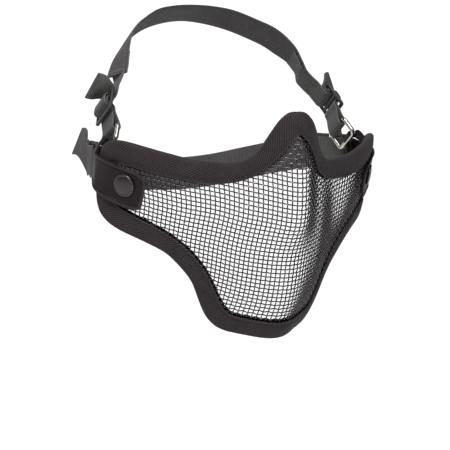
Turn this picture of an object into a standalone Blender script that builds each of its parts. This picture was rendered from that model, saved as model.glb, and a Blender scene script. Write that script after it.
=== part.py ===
"""Mesh face mask, worn over nose, cheeks and chin and held by a crown strap and a nape strap.

Metres, +Z up. The face looks toward -Y, and the wearer's left is +X. The origin is the middle of the
head between the ears, level with the snap caps. The mask itself is worked out on a pressed surface
whose own axis is pitched forward: angle runs round the face from its middle, height up that axis.
"""

import math

import bmesh
import bpy
from mathutils import Matrix, Vector

# The pressed mask
HALF_WIDTH = 0.105       # from the middle to the rear end of a wing
DEPTH = 0.105            # from the ear line to the front of the chin
MASK_HEIGHT = 0.156      # bridge of the nose to chin, along the pitched axis
PITCH = math.radians(13)
NOSE_PROUD = 0.011       # how far the pressed nose stands off the cheeks
NOSE_SPREAD = 0.014

# The woven wire and its gaps
MESH_THICKNESS = 0.0016
GAP_COLUMNS = 20
GAP_ROWS = 6
BAR_SHARE = 0.24         # share of a gap's pitch that is wire
REAR_CUTS = 4            # solid stretches of each wing behind its last gaps
NOSE_SIDE = 25           # angle up to which each gap column gets a middle line too

# The band round the edge
BAND_WIDTH = 0.015
BAND_WALL = 0.0010
BAND_GAP = 0.0006        # between the mesh and each leaf of the band
CLEARANCE = 0.0003
INSET_STEP = 0.0015
EASE_SHARE = 0.12        # how far a corner of the band's line is eased at each step inward

# The side tabs
TAB_WALL = 0.0013
SNAP_RADIUS = 0.0076
SNAP_HEIGHT = 0.0020
POST_RADIUS = 0.0016
WASHER_RADIUS = 0.0048
WASHER_WALL = 0.001

# Webbing, elastic and their hardware
WEB_WIDTH = 0.020
WEB_WALL = 0.0014
STRAP_WIDTH = 0.025
STRAP_WALL = 0.0016
SLIDER_BAR = 0.0026
SLIDER_WALL = 0.0022
SLIDER_SLOT = 0.0060
RING_WIRE = 0.0016       # radius
RING_DROP = 0.0125       # between the middles of the ring's upper and lower bar

# Reach from the axis at each height, as shares of HALF_WIDTH sideways and of DEPTH forward
SECTION_ANGLES = (0, 15, 30, 45, 60, 75, 90)
SECTION_COLUMNS = ("height", "front", "a15", "a30", "a45", "a60", "a75", "a90")
SECTIONS = (
    (0.475, 0.825, 0.790, 0.780, 0.815, 0.885, 0.965, 0.990),
    (0.255, 0.895, 0.820, 0.785, 0.825, 0.900, 0.975, 0.990),
    (0.030, 0.950, 0.905, 0.830, 0.860, 0.905, 0.965, 1.000),
    (-0.160, 0.980, 0.915, 0.835, 0.825, 0.860, 0.950, 1.000),
    (-0.350, 0.970, 0.880, 0.790, 0.755, 0.800, 0.880, 0.920),
    (-0.520, 0.880, 0.785, 0.730, 0.705, 0.755, 0.820, 0.860),
)

# How much of NOSE_PROUD stands at each height
NOSE_COLUMNS = ("height", "proud")
NOSE = (
    (0.475, 0.09), (0.40, 0.40), (0.26, 0.86), (0.13, 1.0), (0.03, 0.90), (-0.05, 0.45), (-0.115, 0.10),
    (-0.17, 0.0), (-0.53, 0.0),
)

# Half of the outline, from the bridge of the nose round the wing to the chin
OUTLINE_COLUMNS = ("angle", "height")
OUTLINE = (
    (0, 0.475), (4, 0.469), (8, 0.433), (11.5, 0.372), (16, 0.295), (23, 0.247), (32, 0.234), (42, 0.234),
    (52, 0.247), (62, 0.260), (70, 0.266), (75.8, 0.256), (80.2, 0.224), (82.4, 0.163), (83.0, 0.074),
    (82.5, -0.013), (79.8, -0.077), (74.6, -0.115), (67.5, -0.141), (59, -0.167), (51, -0.196), (44, -0.253),
    (38.7, -0.311), (35, -0.385), (30.7, -0.461), (24.5, -0.509), (16, -0.526), (8, -0.528), (0, -0.528),
)

# Each side tab, from its front edge back to its roll: lower edge, then upper edge
TAB_COLUMNS = ("low_angle", "low", "high_angle", "high", "lift")
TAB = (
    (61.3, 0.016, 60.3, 0.104, 0.0019), (61.9, -0.008, 60.3, 0.121, 0.0019),
    (66.0, -0.016, 64.0, 0.146, 0.0019), (71.0, -0.008, 70.5, 0.161, 0.0024),
    (75.0, 0.003, 74.5, 0.171, 0.0038), (79.0, 0.015, 78.5, 0.178, 0.0042),
    (82.0, 0.030, 81.7, 0.182, 0.0040), (85.0, 0.048, 85.0, 0.178, 0.0012),
)
TAB_BOW = 0.0008         # how far its long edges stand off more than its middle
TONGUE_REACH = 0.0050    # from the ring out to where the tongue turns down to the tab
TONGUE_SPAN = (-0.0085, 0.0005)
SNAP_ANGLE = 68.4
SNAP_AT = 0.078

# Where the crown strap's sewn end stops on the wearer's right, measured from the wing's rear end, and how
# its web hangs from there
UPPER_OFFSET = Vector((0.0282, 0.0355, 0.0665))
UPPER_DOWN = Vector((-0.345, -0.53, -0.775))
UPPER_ACROSS = Vector((-0.10, 0.81, -0.575))
UPPER_SLIDER = 0.029     # from the sewn end down to the slider's middle
SLIDER_STAND = 0.0050    # how far the slider stands off the straight line down to the ring
RING_BELOW = 0.0195      # from the slider's middle down to the ring's upper bar
RING_LIFT = -0.0019

# The upper web's route past its slider and round the ring: along it, out from the head, twist of the free end
WEB_COLUMNS = ("along", "out", "twist")
UPPER_WEB = (
    (-0.0290, -0.0019, 0), (-0.0250, -0.0017, 0), (-0.0200, -0.0008, 0), (-0.0150, 0.0004, 0),
    (-0.0120, 0.0006, 0), (-0.0090, 0.0008, 0), (-0.0054, 0.0012, 0), (-0.0036, 0.0029, 0),
    (-0.0027, 0.0051, 0), (-0.0023, 0.0067, 0), (-0.0010, 0.0074, 0), (0.0010, 0.0074, 0),
    (0.0023, 0.0067, 0), (0.0027, 0.0051, 0), (0.0036, 0.0029, 0), (0.0054, 0.0012, 0),
    (0.0090, 0.0003, 0), (0.0150, -0.0029, 0), (0.0195, -0.0047, 0), (0.0215, -0.0039, 0),
    (0.0223, -0.0019, 0), (0.0215, 0.0001, 0), (0.0195, 0.0009, 0), (0.0170, 0.0007, 0),
    (0.0140, 0.0012, 0), (0.0090, 0.0025, 0), (0.0066, 0.0029, 0), (0.0052, 0.0038, 0),
    (0.0045, 0.0054, 0), (0.0040, 0.0073, 0), (0.0031, 0.0086, 0), (0.0015, 0.0091, 0),
    (-0.0015, 0.0091, 0), (-0.0031, 0.0086, 0), (-0.0040, 0.0073, 0), (-0.0045, 0.0054, 0),
    (-0.0052, 0.0038, 0), (-0.0066, 0.0029, 0), (-0.0088, 0.0027, 0), (-0.0102, 0.0027, 0),
    (-0.0116, 0.0034, 0), (-0.0126, 0.0050, 0.05), (-0.0132, 0.0070, 0.2), (-0.0136, 0.0092, 0.45),
    (-0.0136, 0.0115, 0.75), (-0.0134, 0.0140, 1), (-0.0131, 0.0170, 1),
)
UPPER_TAIL_ACROSS = Vector((-0.45, 0.20, -0.87))

# The lower slider's middle on the wearer's right, measured from the wing's rear end, and the way back from it
LOWER_OFFSET = Vector((0.0033, 0.0168, 0.0095))
LOWER_BACK = Vector((0.10, 0.995, 0.0))
LOWER_ACROSS = Vector((0.0, 0.0, -1.0))
LOWER_WEB = (
    (0.0290, -0.0056, 0), (0.0235, -0.0034, 0), (0.0180, -0.0022, 0), (0.0130, -0.0021, 0),
    (0.0090, -0.0022, 0), (0.0045, -0.0022, 0), (-0.0004, -0.0022, 0), (-0.0019, -0.0018, 0),
    (-0.0026, -0.0007, 0), (-0.0026, 0.0007, 0), (-0.0019, 0.0018, 0), (-0.0004, 0.0022, 0),
    (0.0045, 0.0023, 0), (0.0080, 0.0025, 0), (0.0100, 0.0029, 0.3), (0.0110, 0.0036, 0.65),
    (0.0119, 0.0047, 0.9), (0.0129, 0.0062, 1), (0.0140, 0.0082, 1),
)
LOWER_TAIL_ACROSS = Vector((-0.32, 0.20, -0.92))
LOWER_TAIL_RISE = 0.0122

# Routes of the two straps from the wearer's right to the middle: side as a share of where the strap starts,
# then back and up as shares of how far it goes, and the way each stretch lies across
ROUTE_COLUMNS = ("side", "back", "up", "across")
CROWN_BACK = 0.0432
CROWN_RISE = 0.0455
CROWN_ROUTE = (
    (1.0, 0.0, 0.0, (0.10, -0.81, 0.575)), (0.961, 0.076, 0.165, (0.10, -0.81, 0.575)),
    (0.925, 0.150, 0.299, (0.11, -0.80, 0.58)), (0.881, 0.243, 0.404, (0.12, -0.80, 0.585)),
    (0.824, 0.352, 0.510, (0.13, -0.79, 0.59)), (0.748, 0.472, 0.620, (0.13, -0.79, 0.59)),
    (0.656, 0.616, 0.714, (0.18, -0.78, 0.60)), (0.447, 0.838, 0.879, (0.16, -0.80, 0.58)),
    (0.228, 0.954, 0.967, (0.08, -0.86, 0.50)), (0.0, 1.0, 1.0, (0.0, -0.89, 0.45)),
)
NAPE_BACK = 0.0910
NAPE_DROP = 0.0200
NAPE_ROUTE = (
    (0.865, 0.450, -0.15, (0.0, 0.0, 1.0)), (0.735, 0.650, -0.35, (0.0, 0.05, 1.0)),
    (0.545, 0.830, -0.62, (0.0, 0.10, 1.0)), (0.290, 0.955, -0.90, (0.0, 0.12, 1.0)),
    (0.0, 1.0, -1.0, (0.0, 0.12, 1.0)),
)

# Looks of the materials: colour, roughness, metallic
COATED_WIRE = ((0.035, 0.033, 0.034), 0.35, 0.7)
BINDING = ((0.028, 0.027, 0.028), 0.85, 0.0)
LEATHER = ((0.022, 0.021, 0.022), 0.5, 0.0)
ENAMEL = ((0.030, 0.029, 0.030), 0.3, 0.0)
POST_STEEL = ((0.20, 0.20, 0.20), 0.4, 1.0)
RING_STEEL = ((0.35, 0.35, 0.34), 0.35, 1.0)
PLASTIC = ((0.030, 0.029, 0.030), 0.4, 0.0)
WEBBING = ((0.050, 0.050, 0.048), 0.85, 0.0)
ELASTIC = ((0.050, 0.049, 0.050), 0.8, 0.0)
GUIDE = ((0.5, 0.5, 0.5), 0.5, 0.0)

BAND_MIDDLE = MESH_THICKNESS / 2 + BAND_GAP + BAND_WALL / 2
SHELL_INSET = BAND_WALL + 6 * CLEARANCE
SLIDER_PITCH = SLIDER_BAR + SLIDER_SLOT


def through(places, values, at):
    """A smooth value at a place among the places listed, in rising order."""
    last = len(places) - 1
    at = min(max(at, places[0]), places[last])
    i = 0
    while i < last - 1 and at > places[i + 1]:
        i += 1
    step = places[i + 1] - places[i]
    t = (at - places[i]) / step

    def slope(k):
        lo, hi = max(k - 1, 0), min(k + 1, last)
        return (values[hi] - values[lo]) / (places[hi] - places[lo]) * step

    rise = values[i + 1] - values[i]
    a, b = slope(i), slope(i + 1)
    return values[i] + t * (a + t * (3 * rise - 2 * a - b + t * (a + b - 2 * rise)))


def through_four(a, b, c, d, t):
    """The smooth curve between b and c, the middle two of four values or points, at share t."""
    bend = (2 * a - 5 * b + 4 * c - d) * t * t + (3 * b - a - 3 * c + d) * t ** 3
    return 0.5 * (2 * b + (c - a) * t + bend)


def mask_base(angle, height):
    """The mask surface: the point at an angle in degrees and a share of MASK_HEIGHT."""
    turn = abs(angle)
    places = (-SECTION_ANGLES[1],) + SECTION_ANGLES
    levels = [row[0] for row in reversed(SECTIONS)]
    reaches = [through(places, (row[2],) + row[1:], turn) for row in reversed(SECTIONS)]
    share = through(levels, reaches, height)
    side = HALF_WIDTH * share * math.sin(math.radians(angle))
    nose = through([row[0] for row in reversed(NOSE)], [row[1] for row in reversed(NOSE)], height)
    proud = NOSE_PROUD * nose * math.exp(-(side / NOSE_SPREAD) ** 2)
    front = (DEPTH * share + proud) * math.cos(math.radians(angle))
    side += proud * math.sin(math.radians(angle))
    up = MASK_HEIGHT * height
    return Vector((side, -(front * math.cos(PITCH) + up * math.sin(PITCH)),
                   up * math.cos(PITCH) - front * math.sin(PITCH)))


def mask_axes(angle, height):
    """The surface's run per degree, its rise per share of height, and its outward normal."""
    step, rise = 0.2, 0.002
    run = (mask_base(angle + step, height) - mask_base(angle - step, height)) / (2 * step)
    up = (mask_base(angle, height + rise) - mask_base(angle, height - rise)) / (2 * rise)
    return run, up, run.cross(up).normalized()


def mask_point(angle, height, lift=0.0):
    """The point at an angle and height, lifted outward off the mask's middle surface."""
    return mask_base(angle, height) + mask_axes(angle, height)[2] * lift


def outline_half(cuts):
    """The half outline with extra points on a smooth curve between the rows of OUTLINE."""
    first, last = OUTLINE[1], OUTLINE[-2]
    rows = ((-first[0], first[1]),) + OUTLINE + ((-last[0], last[1]),)
    points = []
    for k in range(1, len(rows) - 2):
        for cut in range(cuts):
            t = cut / cuts
            points.append(tuple(
                through_four(*column, t) for column in zip(*rows[k - 1:k + 3])))
    return points + [OUTLINE[-1]]


def inset(points, distance):
    """The half outline moved inward over the surface by a distance, its corners eased as it goes."""
    steps = max(1, round(distance / INSET_STEP))
    for _ in range(steps):
        mirrored = [(-points[1][0], points[1][1])] + points + [(-points[-2][0], points[-2][1])]
        moved = []
        for k, (angle, height) in enumerate(points):
            run, up, normal = mask_axes(angle, height)
            along = mask_base(*mirrored[k + 2]) - mask_base(*mirrored[k])
            way = along.cross(normal).normalized() * (distance / steps)
            # Solve way = a * run + b * up on the surface
            rr, uu, ru = run.dot(run), up.dot(up), run.dot(up)
            wr, wu = way.dot(run), way.dot(up)
            scale = rr * uu - ru * ru
            turn = angle + (wr * uu - wu * ru) / scale
            moved.append((0.0 if k in (0, len(points) - 1) else max(turn, 0.0),
                          height + (wu * rr - wr * ru) / scale))
        points = moved
        if steps > 2:
            for k in range(1, len(moved) - 1):
                points[k] = tuple(b + EASE_SHARE * (a + c - 2 * b) for a, b, c in zip(*moved[k - 1:k + 2]))

    # Where the two sides of the nose meet, the line starts at their crossing
    crossed = max(k for k, (angle, _) in enumerate(points[:len(points) // 3]) if angle < 0.6) + 1
    (a0, h0), (a1, h1) = points[crossed], points[crossed + 1]
    if crossed > 1:
        top = h0 - (h1 - h0) * a0 / (a1 - a0)
        for k in range(crossed):
            points[k] = (a0 * k / crossed, top + (h0 - top) * k / crossed)
    return points


def edges_at(points, angle):
    """The lower and upper height of a half outline at an angle."""
    rear = max(range(len(points)), key=lambda k: points[k][0])
    upper, lower = points[:rear + 1], points[rear:][::-1]
    found = []
    for line in (lower, upper):
        value = line[-1][1]
        for (a0, h0), (a1, h1) in zip(line, line[1:]):
            if a0 <= angle <= a1:
                value = h0 + (h1 - h0) * (angle - a0) / max(a1 - a0, 1e-9)
                break
        found.append(value)
    return found


def material(name, look):
    """A material from a look: its colour, roughness and metallic value."""
    colour, roughness, metallic = look
    made = bpy.data.materials.new(name)
    made.use_nodes = True
    shader = made.node_tree.nodes["Principled BSDF"]
    shader.inputs["Base Color"].default_value = (*colour, 1.0)
    shader.inputs["Roughness"].default_value = roughness
    shader.inputs["Metallic"].default_value = metallic
    return made


def place(name, data, collection, finish):
    piece = bpy.data.objects.new(name, data)
    data.materials.append(finish)
    collection.objects.link(piece)
    return piece


def surface(name, rows, collection, finish, skip=(), closed=False):
    """An open sheet through rows of points, with the cells in skip left out."""
    mesh = bpy.data.meshes.new(name)
    sheet = bmesh.new()
    grid = [[sheet.verts.new(point) for point in row] for row in rows]
    count = len(grid)
    for i in range(count if closed else count - 1):
        after = grid[(i + 1) % count]
        for j in range(len(grid[i]) - 1):
            if (i, j) not in skip:
                sheet.faces.new((grid[i][j], grid[i][j + 1], after[j + 1], after[j]))
    for vertex in [v for v in sheet.verts if not v.link_faces]:
        sheet.verts.remove(vertex)
    bmesh.ops.recalc_face_normals(sheet, faces=sheet.faces)
    sheet.to_mesh(mesh)
    sheet.free()
    return place(name, mesh, collection, finish)


def thicken(piece, wall):
    """Gives a sheet its wall, half to each side."""
    modifier = piece.modifiers.new("wall", "SOLIDIFY")
    modifier.thickness = wall
    modifier.offset = 0
    modifier.use_even_offset = True
    return piece


def mirror_copy(piece, collection):
    """The same piece for the wearer's left side, with a material of its own."""
    name = piece.name.replace("right", "left")
    finish = piece.data.materials[0].copy()
    finish.name = piece.data.materials[0].name.replace("right", "left")
    mesh = piece.data.copy()
    mesh.transform(Matrix.Scale(-1, 4, (1, 0, 0)) @ piece.matrix_world)
    mesh.flip_normals()
    mesh.materials.clear()
    copy = place(name, mesh, collection, finish)
    for source in piece.modifiers:
        target = copy.modifiers.new(source.name, source.type)
        if source.type == "SOLIDIFY":
            target.thickness = source.thickness
            target.offset = source.offset
            target.use_even_offset = source.use_even_offset
        if source.type == "BOOLEAN":
            target.operation = source.operation
            target.object = bpy.data.objects[source.object.name.replace("right", "left")]
    return copy


def frame_axes(down, across):
    """Square axes: along the web, across it, and out from the head."""
    along = down.normalized()
    wide = (across - along * across.dot(along)).normalized()
    out = along.cross(wide).normalized()
    return (along, wide, out) if out.x < 0 else (along, wide, -out)


def web_strip(name, middle, axes, route, tail_across, rise, lead, collection, finish):
    """A web threaded along a route in its slider's frame, after a lead of ready stations."""
    along, wide, out = axes
    rows = [[point - way * WEB_WIDTH / 2, point + way * WEB_WIDTH / 2] for point, way in lead]
    for t, n, twist in route:
        way = wide.lerp(tail_across.normalized(), twist).normalized()
        point = middle + along * t + out * n - wide * rise * twist
        rows.append([point - way * WEB_WIDTH / 2, point + way * WEB_WIDTH / 2])
    return thicken(surface(name, rows, collection, finish), WEB_WALL)


def route_rows(stations, width):
    """Both edges of a strap at each station of its route."""
    return [[point - across.normalized() * width / 2, point + across.normalized() * width / 2]
            for point, across in stations]


def strap_route(start, route, back, rise):
    """The stations of a strap's route, from its start to the middle of the head."""
    return [(Vector((start.x * side, start.y + back * share, start.z + rise * lift)), Vector(across))
            for side, share, lift, across in route]


def smooth_stations(stations, cuts):
    """More stations on a smooth curve through those given, which end at the middle of the head."""
    across_middle = tuple(Vector((-v.x, v.y, v.z)) for v in stations[-2])
    rows = [stations[0]] + stations + [across_middle]
    made = []
    for k in range(1, len(rows) - 2):
        for cut in range(cuts):
            t = cut / cuts
            made.append(tuple(
                through_four(*column, t) for column in zip(*rows[k - 1:k + 3])))
    return made + [stations[-1]]


def gap_shares():
    """Where the gaps of a column start and stop, as shares of the height between the bands."""
    shares = []
    for k in range(GAP_ROWS):
        shares += [(k + BAR_SHARE / 2) / GAP_ROWS, (k + 1 - BAR_SHARE / 2) / GAP_ROWS]
    return shares


def mesh_shell(collection, finish):
    """The pressed wire cup: a sheet with a gap in each cell, solid where the band and tabs cover it."""
    rim = inset(outline_half(2), SHELL_INSET)
    border = inset(outline_half(2), BAND_WIDTH)
    rear_rim = max(angle for angle, _ in rim) - 0.3
    pitch = 2 * SNAP_ANGLE / (GAP_COLUMNS - 1)
    bar = pitch * BAR_SHARE
    last = pitch * GAP_COLUMNS / 2
    rear = [last + (rear_rim - last) * k / REAR_CUTS for k in range(1, REAR_CUTS + 1)]
    turns = [-angle for angle in reversed(rear)]
    columns = []
    for k in range(GAP_COLUMNS):
        middle = -last + pitch * (k + 0.5)
        start, end = middle - (pitch - bar) / 2, middle + (pitch - bar) / 2
        columns.append(len(turns))
        turns.append(start)
        if abs(middle) < NOSE_SIDE:
            columns.append(len(turns))
            turns.append(middle)
        turns.append(end)
    turns += rear
    rows = []
    for turn in turns:
        rim_low, rim_high = edges_at(rim, abs(turn))
        low, high = edges_at(border, min(abs(turn), last))
        fade = max(0.0, (abs(turn) - last) / (rear_rim - last))
        low += (rim_low + (rim_high - rim_low) * 0.2 - low) * fade
        high += (rim_high - (rim_high - rim_low) * 0.2 - high) * fade
        heights = [rim_low, (rim_low + low) / 2] + [low + (high - low) * share for share in gap_shares()]
        rows.append([mask_point(turn, height) for height in heights + [(rim_high + high) / 2, rim_high]])
    gaps = {(i, 2 + 2 * j) for i in columns for j in range(GAP_ROWS)}
    return thicken(surface("mesh_shell", rows, collection, finish, skip=gaps), MESH_THICKNESS)


def edge_band(collection, finish):
    """The binding: one strip folded over the rim, with a leaf outside and a leaf inside."""
    outer = outline_half(2)
    fold = inset(outer, BAND_WALL / 2)
    shoulder = inset(outer, BAND_WALL * 1.3)
    middle = inset(outer, BAND_WIDTH / 2)
    seam = inset(outer, BAND_WIDTH)

    def whole(half):
        return half + [(-angle, height) for angle, height in half[-2:0:-1]]

    rows = []
    for edge, near, half, far in zip(whole(fold), whole(shoulder), whole(middle), whole(seam)):
        leaf = [(far, 1), (half, 1), (near, 1), (edge, 0.55), (edge, -0.55), (near, -1), (half, -1), (far, -1)]
        rows.append([mask_point(*place, BAND_MIDDLE * side) for place, side in leaf])
    return thicken(surface("edge_band", rows, collection, finish, closed=True), BAND_WALL)


def side_tab(upper, lower, collection, cutters, finish, guide):
    """The leather tab: a plate over the wing, a tongue rolled round the ring and a roll round the slider."""
    mesh = bpy.data.meshes.new("side_tab_right")
    sheet = bmesh.new()
    cuts = 4
    grid = []
    for low_turn, low, high_turn, high, lift in TAB:
        row = []
        for k in range(cuts + 1):
            share = k / cuts
            turn = low_turn + (high_turn - low_turn) * share
            bow = TAB_BOW * (2 * share - 1) ** 2
            row.append(sheet.verts.new(mask_point(-turn, low + (high - low) * share, lift + bow)))
        grid.append(row)
    for i in range(len(grid) - 1):
        for j in range(cuts):
            sheet.faces.new((grid[i][j], grid[i][j + 1], grid[i + 1][j + 1], grid[i + 1][j]))

    # The tongue goes from the rear of the upper edge over the wing's end and round the ring's lower bar
    middle, (along, wide, out) = upper
    bar = middle + along * (RING_BELOW + RING_DROP) + out * RING_LIFT
    roll = (RING_WIRE + CLEARANCE + TAB_WALL / 2) / math.cos(math.radians(22.5))
    turns = [(0.0, roll + TONGUE_REACH)]
    for turn in (0, 45, 90, 135, 180, 200):
        angle = math.radians(turn)
        turns.append((-roll * math.sin(angle), roll * math.cos(angle)))
    ring_edge = [grid[-2][cuts], grid[-1][cuts]]
    for t, n in turns:
        after = [sheet.verts.new(bar + along * t + out * n + wide * w) for w in TONGUE_SPAN]
        sheet.faces.new((ring_edge[0], after[0], after[1], ring_edge[1]))
        ring_edge = after

    # The roll goes on from the rear edge and round the slider's front bar
    middle, (along, wide, out) = lower
    bar = middle - along * SLIDER_PITCH
    roll = (math.hypot(SLIDER_BAR, SLIDER_WALL) / 2 + CLEARANCE + TAB_WALL / 2) / math.cos(math.radians(22.5))
    half = WEB_WIDTH / 2
    edge = grid[-1][1:cuts + 1]
    for turn in (0, 45, 90, 135, 180, 205):
        angle = math.radians(turn)
        ring = bar + along * roll * math.sin(angle) + out * roll * math.cos(angle)
        shares = [k / (len(edge) - 1) for k in range(len(edge))]
        after = [sheet.verts.new(ring + wide * half * (1 - 2 * share)) for share in shares]
        for j in range(len(edge) - 1):
            sheet.faces.new((edge[j], edge[j + 1], after[j + 1], after[j]))
        edge = after
    bmesh.ops.recalc_face_normals(sheet, faces=sheet.faces)
    sheet.to_mesh(mesh)
    sheet.free()
    tab = thicken(place("side_tab_right", mesh, collection, finish), TAB_WALL)

    bore = POST_RADIUS + CLEARANCE
    reach = 5 * SNAP_HEIGHT
    hole = snap_turned("snap_hole_right", [(0, reach), (bore, reach), (bore, -reach), (0, -reach)], cutters, guide)
    hole.hide_render = True
    hole.display_type = "WIRE"
    cut = tab.modifiers.new("post hole", "BOOLEAN")
    cut.operation = "DIFFERENCE"
    cut.object = hole
    return tab


def snap_frame():
    """Where the right snap stands: through the middle of the gap nearest SNAP_AT, along the normal."""
    low, high = edges_at(inset(outline_half(2), BAND_WIDTH), SNAP_ANGLE)
    gaps = [low + (high - low) * (k + 0.5) / GAP_ROWS for k in range(GAP_ROWS)]
    height = min(gaps, key=lambda middle: abs(middle - SNAP_AT))
    run, up, normal = mask_axes(-SNAP_ANGLE, height)
    side = up.cross(normal).normalized()
    turn = Matrix((side, normal.cross(side), normal)).transposed().to_4x4()
    return Matrix.Translation(mask_base(-SNAP_ANGLE, height)) @ turn


def snap_turned(name, profile, collection, finish, sides=20):
    """A turned piece on the snap's axis, as a closed mesh from a profile of radius and lift."""
    mesh = bpy.data.meshes.new(name)
    turned = bmesh.new()
    line = [turned.verts.new((radius, 0, lift)) for radius, lift in profile]
    edges = [turned.edges.new(pair) for pair in zip(line, line[1:])]
    bmesh.ops.spin(turned, geom=line + edges, axis=(0, 0, 1), cent=(0, 0, 0), steps=sides, angle=2 * math.pi)
    bmesh.ops.remove_doubles(turned, verts=turned.verts, dist=1e-5)
    bmesh.ops.recalc_face_normals(turned, faces=turned.faces)
    turned.transform(snap_frame())
    turned.to_mesh(mesh)
    turned.free()
    return place(name, mesh, collection, finish)


def ring(middle, axes, collection, finish):
    """The bent wire ring: a rounded rectangle round which web and tongue are folded."""
    along, wide, out = axes
    half = WEB_WIDTH / 2 + RING_WIRE + 2 * CLEARANCE
    corner = 0.002
    curve = bpy.data.curves.new("ring_right", "CURVE")
    curve.dimensions = "3D"
    curve.bevel_depth = RING_WIRE
    curve.bevel_resolution = 2
    points = []
    for sx, sy in ((1, 1), (-1, 1), (-1, -1), (1, -1)):
        centre = (sx * (half - corner), sy * (RING_DROP / 2 - corner))
        start = {(1, 1): 0, (-1, 1): 90, (-1, -1): 180, (1, -1): 270}[(sx, sy)]
        for step in (0, 45, 90):
            angle = math.radians(start + step)
            points.append((centre[0] + corner * math.cos(angle), centre[1] + corner * math.sin(angle)))
    spline = curve.splines.new("POLY")
    spline.use_cyclic_u = True
    spline.points.add(len(points) - 1)
    base = middle + along * (RING_BELOW + RING_DROP / 2) + out * RING_LIFT
    for node, (w, t) in zip(spline.points, points):
        node.co = (*(base + wide * w + along * t), 1)
    shape = bpy.data.objects.new("ring guide", curve)
    collection.objects.link(shape)
    graph = bpy.context.evaluated_depsgraph_get()
    mesh = bpy.data.meshes.new_from_object(shape.evaluated_get(graph))
    bpy.data.objects.remove(shape)
    mesh.name = "ring_right"
    return place("ring_right", mesh, collection, finish)


def slider(name, middle, axes, lift, collection, finish):
    """A moulded slider: a flat frame with a bar across its middle."""
    along, wide, out = axes
    half_wide = WEB_WIDTH / 2 + SLIDER_BAR / 2 + CLEARANCE
    slot = WEB_WIDTH / 2 + 2 * CLEARANCE
    half_long = SLIDER_PITCH + SLIDER_BAR / 2
    curve = bpy.data.curves.new(name, "CURVE")
    curve.dimensions = "2D"
    curve.fill_mode = "BOTH"
    curve.extrude = SLIDER_WALL / 2

    def loop(x0, x1, y0, y1, corner):
        corners = []
        for cx, cy, start in ((x1 - corner, y1 - corner, 0), (x0 + corner, y1 - corner, 90),
                              (x0 + corner, y0 + corner, 180), (x1 - corner, y0 + corner, 270)):
            for step in (0, 45, 90):
                angle = math.radians(start + step)
                corners.append((cx + corner * math.cos(angle), cy + corner * math.sin(angle)))
        spline = curve.splines.new("POLY")
        spline.use_cyclic_u = True
        spline.points.add(len(corners) - 1)
        for node, (x, y) in zip(spline.points, corners):
            node.co = (x, y, 0, 1)

    loop(-half_wide - SLIDER_BAR / 2, half_wide + SLIDER_BAR / 2, -half_long, half_long, 0.002)
    for side in (-1, 1):
        start = side * (SLIDER_BAR / 2 + SLIDER_SLOT / 2)
        loop(-slot, slot, start - SLIDER_SLOT / 2, start + SLIDER_SLOT / 2, 0.0006)
    shape = bpy.data.objects.new("slider guide", curve)
    collection.objects.link(shape)
    graph = bpy.context.evaluated_depsgraph_get()
    mesh = bpy.data.meshes.new_from_object(shape.evaluated_get(graph))
    bpy.data.objects.remove(shape)
    mesh.name = name
    welded = bmesh.new()
    welded.from_mesh(mesh)
    bmesh.ops.remove_doubles(welded, verts=welded.verts, dist=1e-5)
    bmesh.ops.recalc_face_normals(welded, faces=welded.faces)
    turn = Matrix((wide, along, wide.cross(along))).transposed().to_4x4()
    welded.transform(Matrix.Translation(middle + out * lift) @ turn)
    welded.to_mesh(mesh)
    welded.free()
    return place(name, mesh, collection, finish)


def whole_strap(name, stations, collection, finish):
    """A strap from side to side: the right half mirrored at the middle."""
    piece = surface(name, route_rows(stations, STRAP_WIDTH), collection, finish)
    mirror = piece.modifiers.new("left half", "MIRROR")
    mirror.merge_threshold = 0.0001
    mirror.use_clip = True
    return thicken(piece, STRAP_WALL)


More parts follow.
